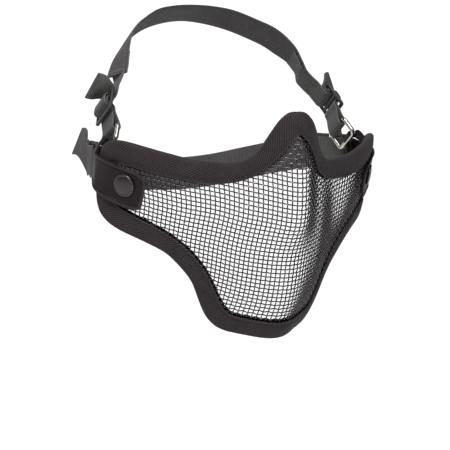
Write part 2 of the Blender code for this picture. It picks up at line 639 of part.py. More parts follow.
def build():
    for piece in list(bpy.data.objects):
        bpy.data.objects.remove(piece)
    mask = bpy.data.collections.new("mesh_face_mask")
    cutters = bpy.data.collections.new("cutters")
    bpy.context.scene.collection.children.link(mask)
    bpy.context.scene.collection.children.link(cutters)

    guide = material("guide", GUIDE)
    mesh_shell(mask, material("woven wire", COATED_WIRE))
    edge_band(mask, material("ribbed binding", BINDING))

    wing_end = mask_base(*max(OUTLINE))
    wing_end.x = -wing_end.x
    upper_start = wing_end + UPPER_OFFSET
    lower_start = wing_end + LOWER_OFFSET
    upper = (upper_start + UPPER_DOWN.normalized() * UPPER_SLIDER, frame_axes(UPPER_DOWN, UPPER_ACROSS))
    lower = (lower_start, frame_axes(LOWER_BACK, LOWER_ACROSS))

    # The crown strap's route, and the end of the upper web that is sewn under it
    sewn = STRAP_WALL / 2 + CLEARANCE + WEB_WALL / 2
    crown = smooth_stations(strap_route(upper_start, CROWN_ROUTE, CROWN_BACK, CROWN_RISE), 2)
    lead = []
    for k in range(4, 0, -1):
        point, across = crown[k]
        face = (crown[k + 1][0] - crown[k - 1][0]).cross(across).normalized()
        lead.append((point + face * sewn, -across.normalized()))
    whole_strap("crown_strap", crown, mask, material("crown elastic", ELASTIC))

    # The nape strap starts outside the lower web, where it is sewn on, and goes the plain way round
    along, wide, out = lower[1]
    web = [lower_start + along * t + out * n for t, n, twist in LOWER_WEB[3::-1]]
    nape = []
    for before, point, after in zip(web, web[1:], web[2:] + [web[-1] * 2 - web[-2]]):
        face = (after - before).cross(wide).normalized()
        nape.append((point + (face if face.dot(out) > 0 else -face) * sewn, -wide))
    nape += strap_route(lower_start, NAPE_ROUTE, NAPE_BACK, NAPE_DROP)
    whole_strap("nape_strap", smooth_stations(nape, 2), mask, material("nape elastic", ELASTIC))

    # The snap's cap sits on the tab, and its washer under the mesh
    cap_seat = through([row[2] for row in TAB[1:]], [row[4] for row in TAB[1:]], SNAP_ANGLE)
    cap_seat += TAB_WALL / 2 + 2.5 * CLEARANCE
    cap_top = cap_seat + SNAP_HEIGHT
    washer_seat = -(MESH_THICKNESS / 2 + 2 * CLEARANCE)
    cap = [(0, cap_top), (SNAP_RADIUS * 0.55, cap_top - SNAP_HEIGHT * 0.07),
           (SNAP_RADIUS * 0.88, cap_top - SNAP_HEIGHT * 0.34), (SNAP_RADIUS, cap_seat + SNAP_HEIGHT * 0.3),
           (SNAP_RADIUS * 0.97, cap_seat), (0, cap_seat)]
    post = [(0, cap_seat - CLEARANCE), (POST_RADIUS, cap_seat - CLEARANCE), (POST_RADIUS, washer_seat),
            (WASHER_RADIUS, washer_seat), (WASHER_RADIUS, washer_seat - WASHER_WALL),
            (0, washer_seat - WASHER_WALL)]
    right = [
        snap_turned("snap_cap_right", cap, mask, material("snap enamel right", ENAMEL)),
        snap_turned("snap_post_right", post, mask, material("post steel right", POST_STEEL), 16),
        ring(*upper, mask, material("ring steel right", RING_STEEL)),
        slider("upper_slider_right", *upper, SLIDER_STAND, mask, material("upper slider right", PLASTIC)),
        slider("lower_slider_right", *lower, 0.0, mask, material("lower slider right", PLASTIC)),
        web_strip("upper_web_right", *upper, UPPER_WEB, UPPER_TAIL_ACROSS, 0.0, lead, mask,
                  material("upper webbing right", WEBBING)),
        web_strip("lower_web_right", *lower, LOWER_WEB, LOWER_TAIL_ACROSS, LOWER_TAIL_RISE, [], mask,
                  material("lower webbing right", WEBBING)),
        side_tab(upper, lower, mask, cutters, material("tab leather right", LEATHER), guide),
    ]
    left_hole = mirror_copy(bpy.data.objects["snap_hole_right"], cutters)
    left_hole.hide_render = True
    left_hole.display_type = "WIRE"
    for piece in right:
        mirror_copy(piece, mask)
    for piece in mask.objects:
        piece.data.shade_smooth()
        piece.data.set_sharp_from_angle(angle=math.radians(40))


build()
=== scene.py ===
import math

import bmesh
import bpy
import numpy as np
from mathutils import Matrix, Vector


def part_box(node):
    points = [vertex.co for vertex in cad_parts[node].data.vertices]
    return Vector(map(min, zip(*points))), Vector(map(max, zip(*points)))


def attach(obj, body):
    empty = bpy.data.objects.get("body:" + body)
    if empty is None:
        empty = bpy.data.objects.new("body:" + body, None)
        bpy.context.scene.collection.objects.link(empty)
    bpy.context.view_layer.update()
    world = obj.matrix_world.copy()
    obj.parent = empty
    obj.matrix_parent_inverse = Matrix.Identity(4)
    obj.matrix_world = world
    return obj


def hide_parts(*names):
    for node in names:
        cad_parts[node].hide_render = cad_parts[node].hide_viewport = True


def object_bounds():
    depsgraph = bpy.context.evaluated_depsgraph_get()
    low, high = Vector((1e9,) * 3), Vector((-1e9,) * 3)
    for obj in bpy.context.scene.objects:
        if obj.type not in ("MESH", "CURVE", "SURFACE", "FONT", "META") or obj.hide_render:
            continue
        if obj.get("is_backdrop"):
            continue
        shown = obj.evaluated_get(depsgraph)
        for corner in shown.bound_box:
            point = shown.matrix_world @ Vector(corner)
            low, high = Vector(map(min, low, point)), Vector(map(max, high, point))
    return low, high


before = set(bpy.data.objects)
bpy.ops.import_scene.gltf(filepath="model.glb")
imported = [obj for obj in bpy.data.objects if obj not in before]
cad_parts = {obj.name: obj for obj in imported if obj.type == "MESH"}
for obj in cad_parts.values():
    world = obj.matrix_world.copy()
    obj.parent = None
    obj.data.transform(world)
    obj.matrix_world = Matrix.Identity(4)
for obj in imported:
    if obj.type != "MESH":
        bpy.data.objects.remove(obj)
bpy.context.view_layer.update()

# The wire mesh: one layer of plain woven steel wire, pressed into a cup with a nose ridge and coated black.
# Its surface is worked out on an axis pitched forward: angle runs round the mask from its middle, height up
# that axis. Warp wires run up the mask, weft wires run round it, and each passes over and under in turn.
HALF_WIDTH = 0.105
DEPTH = 0.105
MASK_HEIGHT = 0.156
PITCH = math.radians(13)
NOSE_PROUD = 0.011
NOSE_SPREAD = 0.014
SECTION_ANGLES = (0, 15, 30, 45, 60, 75, 90)
# Rows of height, then how far out the surface stands in front and at each further angle
SECTIONS = np.array((
    (-0.520, 0.880, 0.785, 0.730, 0.705, 0.755, 0.820, 0.860),
    (-0.350, 0.970, 0.880, 0.790, 0.755, 0.800, 0.880, 0.920),
    (-0.160, 0.980, 0.915, 0.835, 0.825, 0.860, 0.950, 1.000),
    (0.030, 0.950, 0.905, 0.830, 0.860, 0.905, 0.965, 1.000),
    (0.255, 0.895, 0.820, 0.785, 0.825, 0.900, 0.975, 0.990),
    (0.475, 0.825, 0.790, 0.780, 0.815, 0.885, 0.965, 0.990),
))
# Rows of height and how proud the nose ridge stands
NOSE = np.array((
    (-0.53, 0.0), (-0.17, 0.0), (-0.115, 0.10), (-0.05, 0.45), (0.03, 0.90), (0.13, 1.0), (0.26, 0.86),
    (0.40, 0.40), (0.475, 0.09),
))
# Rows of angle and height, down one side from the bridge to the chin
OUTLINE = np.array((
    (0, 0.475), (4, 0.469), (8, 0.433), (11.5, 0.372), (16, 0.295), (23, 0.247), (32, 0.234), (42, 0.234),
    (52, 0.247), (62, 0.260), (70, 0.266), (75.8, 0.256), (80.2, 0.224), (82.4, 0.163), (83.0, 0.074),
    (82.5, -0.013), (79.8, -0.077), (74.6, -0.115), (67.5, -0.141), (59, -0.167), (51, -0.196), (44, -0.253),
    (38.7, -0.311), (35, -0.385), (30.7, -0.461), (24.5, -0.509), (16, -0.526), (8, -0.528), (0, -0.528),
))
INSET_STEP = 0.0015
EASE_SHARE = 0.12
NOSE_MEETS = 0.6         # degrees from the middle, where the two sides of the nose meet
WIRE_RADIUS = 0.00044
WARP_PITCH = 0.0031
WEFT_PITCH = 0.00288
WARP_WAIST = 30.0        # how the warp draws in toward the middle, per square metre
WAIST_AT = -0.024        # the height where it is drawn in most
WEFT_RISE = 0.085        # how steeply the weft rises on the cheeks
RISE_FROM = 0.028
RISE_ROUND = 0.007
WEFTS_BELOW = 8          # wefts that start below the mask, because they rise on the cheeks
WIRE_END = 0.0095        # how far inside the outline the wires stop, under the binding
WIRE_SIDES = 8
WIRE_CUTS = 4            # lengths of each wire from one crossing to the next


def through(places, values, at):
    """Smooth values at the places asked for, between the values at the places listed."""
    places, values = np.asarray(places, float), np.asarray(values, float)
    at = np.clip(at, places[0], places[-1])
    low = np.clip(np.searchsorted(places, at) - 1, 0, len(places) - 2)
    step = places[low + 1] - places[low]
    share = (at - places[low]) / step

    def value(k):
        return values[k] if values.ndim == 1 else values[k, np.arange(len(at))]

    def slope(k):
        before, after = np.maximum(k - 1, 0), np.minimum(k + 1, len(places) - 1)
        return (value(after) - value(before)) / (places[after] - places[before]) * step

    rise = value(low + 1) - value(low)
    a, b = slope(low), slope(low + 1)
    return value(low) + share * (a + share * (3 * rise - 2 * a - b + share * (a + b - 2 * rise)))


def through_four(a, b, c, d, t):
    """The smooth curve between b and c, the middle two of four values or points, at share t."""
    bend = (2 * a - 5 * b + 4 * c - d) * t * t + (3 * b - a - 3 * c + d) * t ** 3
    return 0.5 * (2 * b + (c - a) * t + bend)


def finer(rows, cuts, before=None, after=None):
    """Rows with more of them between on a smooth curve, and the row that would come before and after."""
    rows = np.asarray(rows, float)
    before = rows[0] if before is None else before
    after = rows[-1] if after is None else after
    line = np.concatenate((before[None], rows, after[None]))
    made = [through_four(*line[k - 1:k + 3], cut / cuts)
            for k in range(1, len(line) - 2) for cut in range(cuts)]
    return np.array(made + [rows[-1]])


def unit(ways):
    return ways / np.linalg.norm(ways, axis=-1, keepdims=True)


def run_of(points):
    """How far along a line of points each of them lies."""
    return np.concatenate(((0,), np.linalg.norm(np.diff(points, axis=0), axis=1).cumsum()))


def mask_base(angle, height):
    """Points of the mask surface at angles in degrees and shares of MASK_HEIGHT."""
    angle, height = np.broadcast_arrays(np.asarray(angle, float), np.asarray(height, float))
    form, angle, height = angle.shape, angle.ravel(), height.ravel()
    places = (-SECTION_ANGLES[1],) + SECTION_ANGLES
    reaches = np.array([through(places, (row[2], *row[1:]), abs(angle)) for row in SECTIONS])
    share = through(SECTIONS[:, 0], reaches, height)
    turn = np.radians(angle)
    side = HALF_WIDTH * share * np.sin(turn)
    proud = NOSE_PROUD * through(NOSE[:, 0], NOSE[:, 1], height) * np.exp(-(side / NOSE_SPREAD) ** 2)
    front = (DEPTH * share + proud) * np.cos(turn)
    up = MASK_HEIGHT * height
    points = np.stack((side + proud * np.sin(turn), -(front * math.cos(PITCH) + up * math.sin(PITCH)),
                       up * math.cos(PITCH) - front * math.sin(PITCH)), -1)
    return points.reshape(form + (3,))


def mask_axes(angle, height):
    """The surface's run per degree, its rise per share of height, and its outward normal."""
    step, rise = 0.2, 0.002
    run = (mask_base(angle + step, height) - mask_base(angle - step, height)) / (2 * step)
    up = (mask_base(angle, height + rise) - mask_base(angle, height - rise)) / (2 * rise)
    return run, up, unit(np.cross(run, up))


def mask_point(angle, height, lift):
    """Points lifted off the mask surface along its normal."""
    return mask_base(angle, height) + mask_axes(angle, height)[2] * np.asarray(lift)[..., None]


def outline_half(cuts):
    """The half outline with extra points on a smooth curve between the rows of OUTLINE."""
    return finer(OUTLINE, cuts, OUTLINE[1] * (-1, 1), OUTLINE[-2] * (-1, 1))


def inset(points, distance):
    """The half outline moved inward over the surface by a distance, its corners eased as it goes."""
    steps = max(1, round(distance / INSET_STEP))
    for _ in range(steps):
        line = np.vstack((points[1] * (-1, 1), points, points[-2] * (-1, 1)))
        run, up, normal = mask_axes(*points.T)
        base = mask_base(*line.T)
        way = unit(np.cross(base[2:] - base[:-2], normal)) * distance / steps
        rr, uu, ru = (run * run).sum(1), (up * up).sum(1), (run * up).sum(1)
        wr, wu = (way * run).sum(1), (way * up).sum(1)
        moved = points + np.stack((wr * uu - wu * ru, wu * rr - wr * ru), 1) / (rr * uu - ru * ru)[:, None]
        moved[:, 0] = np.maximum(moved[:, 0], 0)
        moved[[0, -1], 0] = 0
        points = moved.copy()
        if steps > 2:
            points[1:-1] += EASE_SHARE * (moved[:-2] + moved[2:] - 2 * moved[1:-1])

    # Where the two sides of the nose meet, the line starts at their crossing
    crossed = np.nonzero(points[:len(points) // 3, 0] < NOSE_MEETS)[0].max() + 1
    if crossed > 1:
        (a0, h0), (a1, h1) = points[crossed], points[crossed + 1]
        share = np.arange(crossed) / crossed
        top = h0 - (h1 - h0) * a0 / (a1 - a0)
        points[:crossed] = np.stack((a0 * share, top + (h0 - top) * share), 1)
    return points


def both_sides(half, cuts):
    """A line right round the mask from its half, with more points between."""
    half = finer(half, cuts, half[1] * (-1, 1), half[-2] * (-1, 1))
    return np.vstack((half, half[-2:0:-1] * (-1, 1)))


def within(line, angle, height):
    """Whether each place lies inside a closed line of angles and heights."""
    (a0, h0), (a1, h1) = line.T, np.roll(line, -1, axis=0).T
    spans = (h0 > height[:, None]) != (h1 > height[:, None])
    level = np.where(h1 == h0, 1, h1 - h0)
    crossing = a0 + (height[:, None] - h0) * (a1 - a0) / level
    return (spans & (angle[:, None] < crossing)).sum(1) % 2 == 1


def quads(near, far):
    """The four corners of each face between rows of points and the rows after them."""
    return np.stack((near, np.roll(near, -1, 1), np.roll(far, -1, 1), far), 2)


def loft(runs, looped=False, cloth=None, marks=None):
    """One mesh from runs of closed cross-sections, with the place on the cloth and a mark at each point."""
    faces, places, start = [], [], 0
    for k, rings in enumerate(runs):
        count, around = rings.shape[:2]
        index = start + np.arange(count * around).reshape(count, around)
        start += count * around
        rows = np.vstack((index, index[:1])) if looped else index
        faces += quads(rows[:-1], rows[1:]).reshape(-1, 4).tolist()
        if cloth is not None:
            spot = cloth[k]
            places.append(quads(spot[:len(rows) - 1], spot[1:len(rows)]).reshape(-1, 2))
        if not looped:
            faces += [index[0, ::-1].tolist(), index[-1].tolist()]
            if cloth is not None:
                places += [spot[0, ::-1], spot[-1]]
    points = np.concatenate([rings.reshape(-1, 3) for rings in runs])
    mesh = bpy.data.meshes.new("loft")
    mesh.from_pydata(points.tolist(), [], faces)
    if cloth is not None:
        places = np.concatenate(places).astype(np.float32)
        mesh.uv_layers.new(name="cloth").uv.foreach_set("vector", places.ravel())
    if marks is not None:
        marks = np.concatenate([mark.ravel() for mark in marks]).astype(np.float32)
        mesh.attributes.new("rub", "FLOAT", "POINT").data.foreach_set("value", marks)
    a, b, c = points[np.array([face[:3] for face in faces])].transpose(1, 0, 2)
    if (a * np.cross(b, c)).sum() < 0:
        mesh.flip_normals()
    return mesh


def spokes(first, second, count):
    """Ways evenly all round, between two square ways or between each pair of them."""
    turn = np.arange(count)[:, None] * 2 * math.pi / count
    return np.cos(turn) * first[..., None, :] + np.sin(turn) * second[..., None, :]


def tube(centres, radius, face, sides):
    """Round cross-sections along a line, the first point of each on its face side."""
    centres = np.asarray(centres, float)
    way = unit(np.gradient(centres, axis=0))
    face = unit(face - way * (face * way).sum(-1, keepdims=True))
    return centres[:, None] + spokes(face, np.cross(way, face), sides) * np.reshape(radius, (-1, 1, 1))


def put(name, mesh, finish, crease=40):
    """A new object with one material, smooth but for edges sharper than the crease."""
    mesh.name = name
    piece = bpy.data.objects.new(name, mesh)
    bpy.context.scene.collection.objects.link(piece)
    mesh.materials.clear()
    mesh.materials.append(finish)
    mesh.shade_smooth()
    mesh.set_sharp_from_angle(angle=math.radians(crease))
    return piece


def fit(piece, slot, *nodes):
    """A piece set on the body in place of the nodes it stands for. The slot is not used."""
    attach(piece, "root")
    if nodes:
        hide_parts(*nodes)


def node(tree, kind, inputs=None, **settings):
    """A shader node with its settings, and values or links for its inputs."""
    made = tree.nodes.new("ShaderNode" + kind)
    for key, value in settings.items():
        setattr(made, key, value)
    for key, value in (inputs or {}).items():
        if isinstance(value, bpy.types.NodeSocket):
            tree.links.new(value, made.inputs[key])
        else:
            made.inputs[key].default_value = value
    return made


def sums(tree, operation, *values):
    """The result of one Math node."""
    return node(tree, "Math", dict(enumerate(values)), operation=operation).outputs[0]


def effect(name, inputs, outputs):
    """A shader node group with its named inputs and outputs, ready to be filled."""
    tree = bpy.data.node_groups.new(name, "ShaderNodeTree")
    for socket, kind, value in inputs:
        made = tree.interface.new_socket(socket, in_out="INPUT", socket_type="NodeSocket" + kind)
        if value is not None:
            made.default_value = value
    for socket in outputs:
        tree.interface.new_socket(socket, in_out="OUTPUT", socket_type="NodeSocketFloat")
    return tree, tree.nodes.new("NodeGroupInput").outputs, tree.nodes.new("NodeGroupOutput")


def use(tree, group, **inputs):
    """An effect placed in a material with its own values."""
    return node(tree, "Group", inputs, node_tree=group).outputs


def speckle(tree, place, scale, detail=2.0):
    """Fine noise over the surface."""
    return node(tree, "TexNoise", {"Vector": place, "Scale": scale, "Detail": detail}).outputs["Fac"]


# Uneven colour: soft patches over small ones, round a shade of 1
uneven, given, out = effect(
    "uneven colour",
    (("Place", "Vector", None), ("Size", "Float", 0.02), ("Depth", "Float", 0.2)), ("Shade",))
patch = sums(uneven, "DIVIDE", 1.0, given["Size"])
broad = speckle(uneven, given["Place"], patch, detail=3.0)
small = speckle(uneven, given["Place"], sums(uneven, "MULTIPLY", patch, 6.0))
both = sums(uneven, "SUBTRACT", sums(uneven, "ADD", broad, small), 1.0)
shade = sums(uneven, "MULTIPLY_ADD", both, sums(uneven, "MULTIPLY", given["Depth"], 2.0), 1.0)
uneven.links.new(shade, out.inputs["Shade"])

# Worn edges: where a mark is high, the coat is rubbed through in ragged spots
worn, given, out = effect(
    "worn edges",
    (("Place", "Vector", None), ("Edge", "Float", 0.0), ("Size", "Float", 0.001), ("Share", "Float", 0.5)),
    ("Mask",))
ragged = speckle(worn, given["Place"], sums(worn, "DIVIDE", 1.0, given["Size"]), detail=4.0)
level = sums(worn, "ADD", sums(worn, "SUBTRACT", ragged, 0.5), given["Edge"])
low = sums(worn, "SUBTRACT", 1.0, given["Share"])
rubbed = node(worn, "MapRange", {"Value": level, "From Min": low, "From Max": sums(worn, "ADD", low, 0.35)},
              interpolation_type="SMOOTHSTEP")
worn.links.new(rubbed.outputs["Result"], out.inputs["Mask"])


def finish_of(name, **plain):
    """A material, its tree, its shader with plain values set on it, and the place on the piece."""
    made = bpy.data.materials.new(name)
    made.use_nodes = True
    shader = made.node_tree.nodes["Principled BSDF"]
    for key, value in plain.items():
        shader.inputs[key.replace("_", " ")].default_value = value
    return made, made.node_tree, shader, node(made.node_tree, "TexCoord").outputs["Object"]


def blend(tree, share, first, second):
    """A colour between two, by a share, through the colour sockets of a Mix node."""
    first, second = ((*colour, 1) if isinstance(colour, tuple) else colour for colour in (first, second))
    return node(tree, "Mix", {0: share, 6: first, 7: second}, data_type="RGBA").outputs[2]


def tinted(tree, colour, place, size, depth):
    """A colour that is a little uneven, in patches of a size."""
    shade = use(tree, uneven, Place=place, Size=size, Depth=depth)["Shade"]
    return node(tree, "VectorMath", {0: colour, "Scale": shade}, operation="SCALE").outputs[0]


def rub_of(tree):
    """The mark that a mesh carries where it is rubbed most."""
    return node(tree, "Attribute", attribute_name="rub").outputs["Fac"]


def wear_through(tree, shader, place, edge, coat, under, size, share):
    """A coat with another colour showing in ragged spots at its edges, and the mask of the spots."""
    bare = use(tree, worn, Place=place, Edge=edge, Size=size, Share=share)["Mask"]
    tree.links.new(blend(tree, bare, coat, under), shader.inputs["Base Color"])
    return bare


def roughen(tree, shader, mask, span, least):
    """Roughness that rises from the least by a span, as a mask says."""
    tree.links.new(sums(tree, "MULTIPLY_ADD", mask, span, least), shader.inputs["Roughness"])


def emboss(tree, shader, height, strength, distance):
    """Relief that is too fine for the mesh."""
    bump = node(tree, "Bump", {"Height": height, "Strength": strength, "Distance": distance})
    tree.links.new(bump.outputs[0], shader.inputs["Normal"])


coated_wire, tree, shader, place = finish_of("coated wire", Metallic=0.35, Specular_IOR_Level=0.6)
coat = tinted(tree, (0.019, 0.0135, 0.016), place, size=0.02, depth=0.35)
# Pale metal painted on the marked knuckles: the coat rubbed through, and a painted glint at each crossing
bare = wear_through(tree, shader, place, rub_of(tree), coat, (0.30, 0.28, 0.27), size=0.0016, share=0.34)
roughen(tree, shader, bare, span=0.06, least=0.27)
emboss(tree, shader, speckle(tree, place, 1800.0), strength=0.25, distance=0.00008)

# The surface's girth at close levels, so that a distance round it gives the angle there
under_binding = both_sides(inset(outline_half(cuts=2), WIRE_END), cuts=3)
levels = np.linspace(-0.53, 0.48, 405)
turns = np.linspace(0, 86, 173)
girth = np.array([run_of(line) for line in mask_base(turns[None], levels[:, None])])
reaches = np.linspace(0, girth.max(), 321)
turn_at = np.array([np.interp(reaches, line, turns, right=90) for line in girth])


def woven(warp, weft):
    """Where on the mask a place on the flat wire cloth comes to lie, counted in warp and weft wires."""
    warp, weft = np.broadcast_arrays(np.asarray(warp, float), np.asarray(weft, float))
    up = weft * WEFT_PITCH
    for _ in range(4):
        away = abs(warp) * WARP_PITCH * (1 + WARP_WAIST * (up - WAIST_AT) ** 2)
        up = weft * WEFT_PITCH + WEFT_RISE * RISE_ROUND * np.logaddexp(0, (away - RISE_FROM) / RISE_ROUND)
    level = np.clip((up / MASK_HEIGHT - levels[0]) / (levels[1] - levels[0]), 0, len(levels) - 1.001)
    spot = np.clip(away / reaches[1], 0, len(reaches) - 1.001)
    i, j = level.astype(int), spot.astype(int)
    a, b = level - i, spot - j
    turn = ((turn_at[i, j] * (1 - b) + turn_at[i, j + 1] * b) * (1 - a)
            + (turn_at[i + 1, j] * (1 - b) + turn_at[i + 1, j + 1] * b) * a)
    return np.sign(warp) * turn, up / MASK_HEIGHT


def wires_of(paths):
    """Cross-sections of every stretch of wire inside the binding, and a mark on the raised knuckles where
    the coat is rubbed through and a glint is painted.
    """
    runs, marks = [], []
    for angle, height, crimp in paths:
        shown = within(under_binding, angle, height)
        cuts = np.nonzero(np.diff(np.concatenate(((False,), shown, (False,))).astype(int)))[0]
        for first, last in zip(cuts[::2], cuts[1::2]):
            if last - first > WIRE_CUTS:
                a, h, lift = angle[first:last], height[first:last], crimp[first:last]
                centres = mask_point(a, h, lift * WIRE_RADIUS)
                rings = tube(centres, WIRE_RADIUS, mask_axes(a, h)[2], WIRE_SIDES)
                # The outward face of each raised knuckle is marked, for rubbed coat and a painted glint
                crown = np.clip(np.cos(np.arange(WIRE_SIDES) * 2 * math.pi / WIRE_SIDES), 0, 1)
                runs.append(rings)
                marks.append(np.clip(lift, 0, 1)[:, None] ** 2 * crown)
    return runs, marks


last_warp = int(girth.max() / WARP_PITCH) + 1
first_weft = int(levels[0] * MASK_HEIGHT / WEFT_PITCH) - WEFTS_BELOW
last_weft = int(levels[-1] * MASK_HEIGHT / WEFT_PITCH) + 2
wefts = np.arange(first_weft, last_weft, 1 / WIRE_CUTS)
warps = np.arange(-last_warp, last_warp, 1 / WIRE_CUTS)
runs, marks = wires_of([(*woven(warp, wefts), (-1) ** warp * np.cos(math.pi * wefts))
                        for warp in range(-last_warp, last_warp + 1)])
warp_wires = put("warp_wires", loft(runs, marks=marks), coated_wire)
runs, marks = wires_of([(*woven(warps, weft), -(-1) ** weft * np.cos(math.pi * warps))
                        for weft in range(first_weft, last_weft)])
weft_wires = put("weft_wires", loft(runs, marks=marks), coated_wire)
for piece in (warp_wires, weft_wires):
    fit(piece, "wire", "mesh_shell")

# The binding: one strip of ribbed twill tape, cut on the bias, folded over the edge of the wire right round
# the mask and sewn down through it with one line of lockstitch near its inner edge. It is a little padded,
# and puckers where it is sewn.
BAND_WIDTH = 0.015
BAND_WALL = 0.0010
BAND_MIDDLE = 0.0019     # from the middle of the wire to the middle of each leaf
FOLD_REACH = 0.0015
FOLD_FROM = 0.0020
FOLD_END = 0.0022
FOLD_OPEN = math.radians(78)
BAND_PUFF = 0.0006
PUFF_FROM = 0.0005
SELVEDGE = 0.0006
EDGE_OVER = 0.0004       # how far the cut edges may reach past the width
CUT_BULGE = 0.4          # how far they bulge, as a share of the wall
SEAM_AT = 0.0128
SEAM_DIP = 0.00035
SEAM_WIDTH = 0.0009
SEAM_FROM = 0.0112       # where the cloth starts to dip to the seam
SEAM_NEAR = 0.0118
SEAM_TUCK = 0.0003
PUCKER = 0.00016
PUCKER_PITCH = 0.0068
PUCKER_AT = 0.0100
PUCKER_WIDTH = 0.0035
STITCH_PITCH = 0.0030
STITCH_LENGTH = 0.0021
SELVEDGE_HIGHLIGHT = 1.9       # how much paler cloth is painted along its selvedges: a painted highlight, broken into ragged spots where the cloth frays
THREAD = 0.00026
THREAD_SIDES = 6

# Ribbed cloth: slanting or square ribs with yarns across them, from the place on the cloth in metres, and a
# mask of the furrows between the ribs where shade is painted
ribbed, given, out = effect(
    "ribbed cloth", (("Cloth", "Vector", None), ("Rib", "Float", 0.0015), ("Slant", "Float", 0.0),
                     ("Yarn", "Float", 0.0006)), ("Height", "Furrow Shade"))


def ripple(value):
    """Even ripples, one for each whole number that a value goes through."""
    return sums(ribbed, "ABSOLUTE", sums(ribbed, "SINE", sums(ribbed, "MULTIPLY", value, math.pi)))


spot = node(ribbed, "SeparateXYZ", {0: given["Cloth"]}).outputs
across = sums(ribbed, "MULTIPLY_ADD", spot["Y"], given["Slant"], spot["X"])
across = sums(ribbed, "DIVIDE", across, given["Rib"])
ridge = sums(ribbed, "POWER", ripple(across), 1.1)
shift = sums(ribbed, "MULTIPLY", sums(ribbed, "FLOOR", across), 0.5)
yarn = ripple(sums(ribbed, "ADD", sums(ribbed, "DIVIDE", spot["Y"], given["Yarn"]), shift))
height = sums(ribbed, "MULTIPLY", ridge, sums(ribbed, "MULTIPLY_ADD", yarn, 0.35, 0.65))
ribbed.links.new(height, out.inputs["Height"])
# The furrows between the ribs, as a mask for painted shade
furrow = sums(ribbed, "SUBTRACT", 1.0, height)
ribbed.links.new(sums(ribbed, "POWER", furrow, 1.5), out.inputs["Furrow Shade"])


def cloth_of(name, colour, rib, slant, yarn, depth, sheen, shadow):
    """A woven cloth: ribs and yarns with painted shade in their furrows, a painted highlight along its
    selvedges in ragged spots, uneven dye, loose fibre and a dusty sheen.
    """
    made, tree, shader, place = finish_of(
        name, Specular_IOR_Level=0.15, Sheen_Weight=sheen, Sheen_Roughness=0.5)
    cloth = node(tree, "UVMap", uv_map="cloth").outputs[0]
    weave = use(tree, ribbed, Cloth=cloth, Rib=rib, Slant=slant, Yarn=yarn)
    dyed = tinted(tree, colour, place, size=0.018, depth=0.28)
    # Along the marked selvedges the cloth is painted paler in ragged spots: a painted highlight, where the
    # cloth also frays
    lit_and_frayed_edge = use(tree, worn, Place=place, Edge=rub_of(tree), Size=0.0014, Share=0.45)["Mask"]
    # The colour painted as shade in the furrows, and the paler colour painted as a highlight along the
    # selvedges
    painted_furrow_shade, pale = (tuple(part * share for part in colour) for share in (shadow, SELVEDGE_HIGHLIGHT))
    top = blend(tree, lit_and_frayed_edge, dyed, pale)
    # The furrows are painted darker: painted shade
    tree.links.new(blend(tree, weave["Furrow Shade"], top, painted_furrow_shade), shader.inputs["Base Color"])
    fibre = speckle(tree, place, 2600.0, detail=3.0)
    roughen(tree, shader, fibre, span=0.25, least=0.62)
    relief = sums(tree, "MULTIPLY_ADD", fibre, 0.25, weave["Height"])
    emboss(tree, shader, relief, strength=1.0, distance=depth)
    return made


def thread_of(name, colour):
    """A spun sewing thread, a little uneven in its dye."""
    made, tree, shader, place = finish_of(name, Specular_IOR_Level=0.2, Sheen_Weight=0.03)
    tree.links.new(tinted(tree, colour, place, size=0.004, depth=0.4), shader.inputs["Base Color"])
    ply = speckle(tree, place, 3000.0)
    roughen(tree, shader, ply, span=0.3, least=0.4)
    emboss(tree, shader, ply, strength=0.6, distance=0.0001)
    return made


def hump(place, at, width):
    """A smooth hump of 1 round a place."""
    return np.exp(-((place - at) / width) ** 2)


def between(at, places, rows):
    """Rows between those given, at distances along them."""
    return np.stack([np.interp(at, places, column) for column in rows.T], -1)


def stitches(starts, ends, faces, radius):
    """Cross-sections of sewn threads, each proud of the cloth in its middle and drawn in at its ends."""
    share = np.array((0, 0.14, 0.5, 0.86, 1))
    swell = np.array((0.4, 0.9, 1, 0.9, 0.4))
    proud = np.array((-0.7, 0.05, 0.4, 0.05, -0.7)) * radius
    run = ends - starts
    side = unit(np.cross(faces, run))
    centre = starts[:, None] + run[:, None] * share[:, None] + faces[:, None] * proud[:, None]
    ring = spokes(faces, side, THREAD_SIDES)[:, None]
    return list(centre[:, :, None] + ring * (radius * swell)[:, None, None])


binding = cloth_of("ribbed binding", (0.038, 0.0295, 0.0325), rib=0.0023, slant=1.2, yarn=0.0009,
                   depth=0.0003, sheen=0.03, shadow=0.12)
thread = thread_of("binding thread", (0.020, 0.019, 0.020))

outer = outline_half(cuts=2)
band_lines = [(0.0, outer)]
for distance in (BAND_WALL / 2, BAND_WALL * 1.3, BAND_WIDTH / 2, BAND_WIDTH):
    band_lines.append((distance, inset(outer, distance)))
band_reach = [distance for distance, _ in band_lines]
band_paths = np.array([both_sides(line, cuts=4) for _, line in band_lines])
edge_points = mask_base(*band_paths[2].T)
band_run = run_of(np.vstack((edge_points, edge_points[:1])))


def on_band(reach, lift):
    """Points at each station of the binding, in from the edge and off the wire."""
    place = np.array([[np.interp(reach[i], band_reach, band_paths[:, i, side]) for side in (0, 1)]
                      for i in range(len(reach))])
    return mask_point(place[:, 0], place[:, 1], lift)


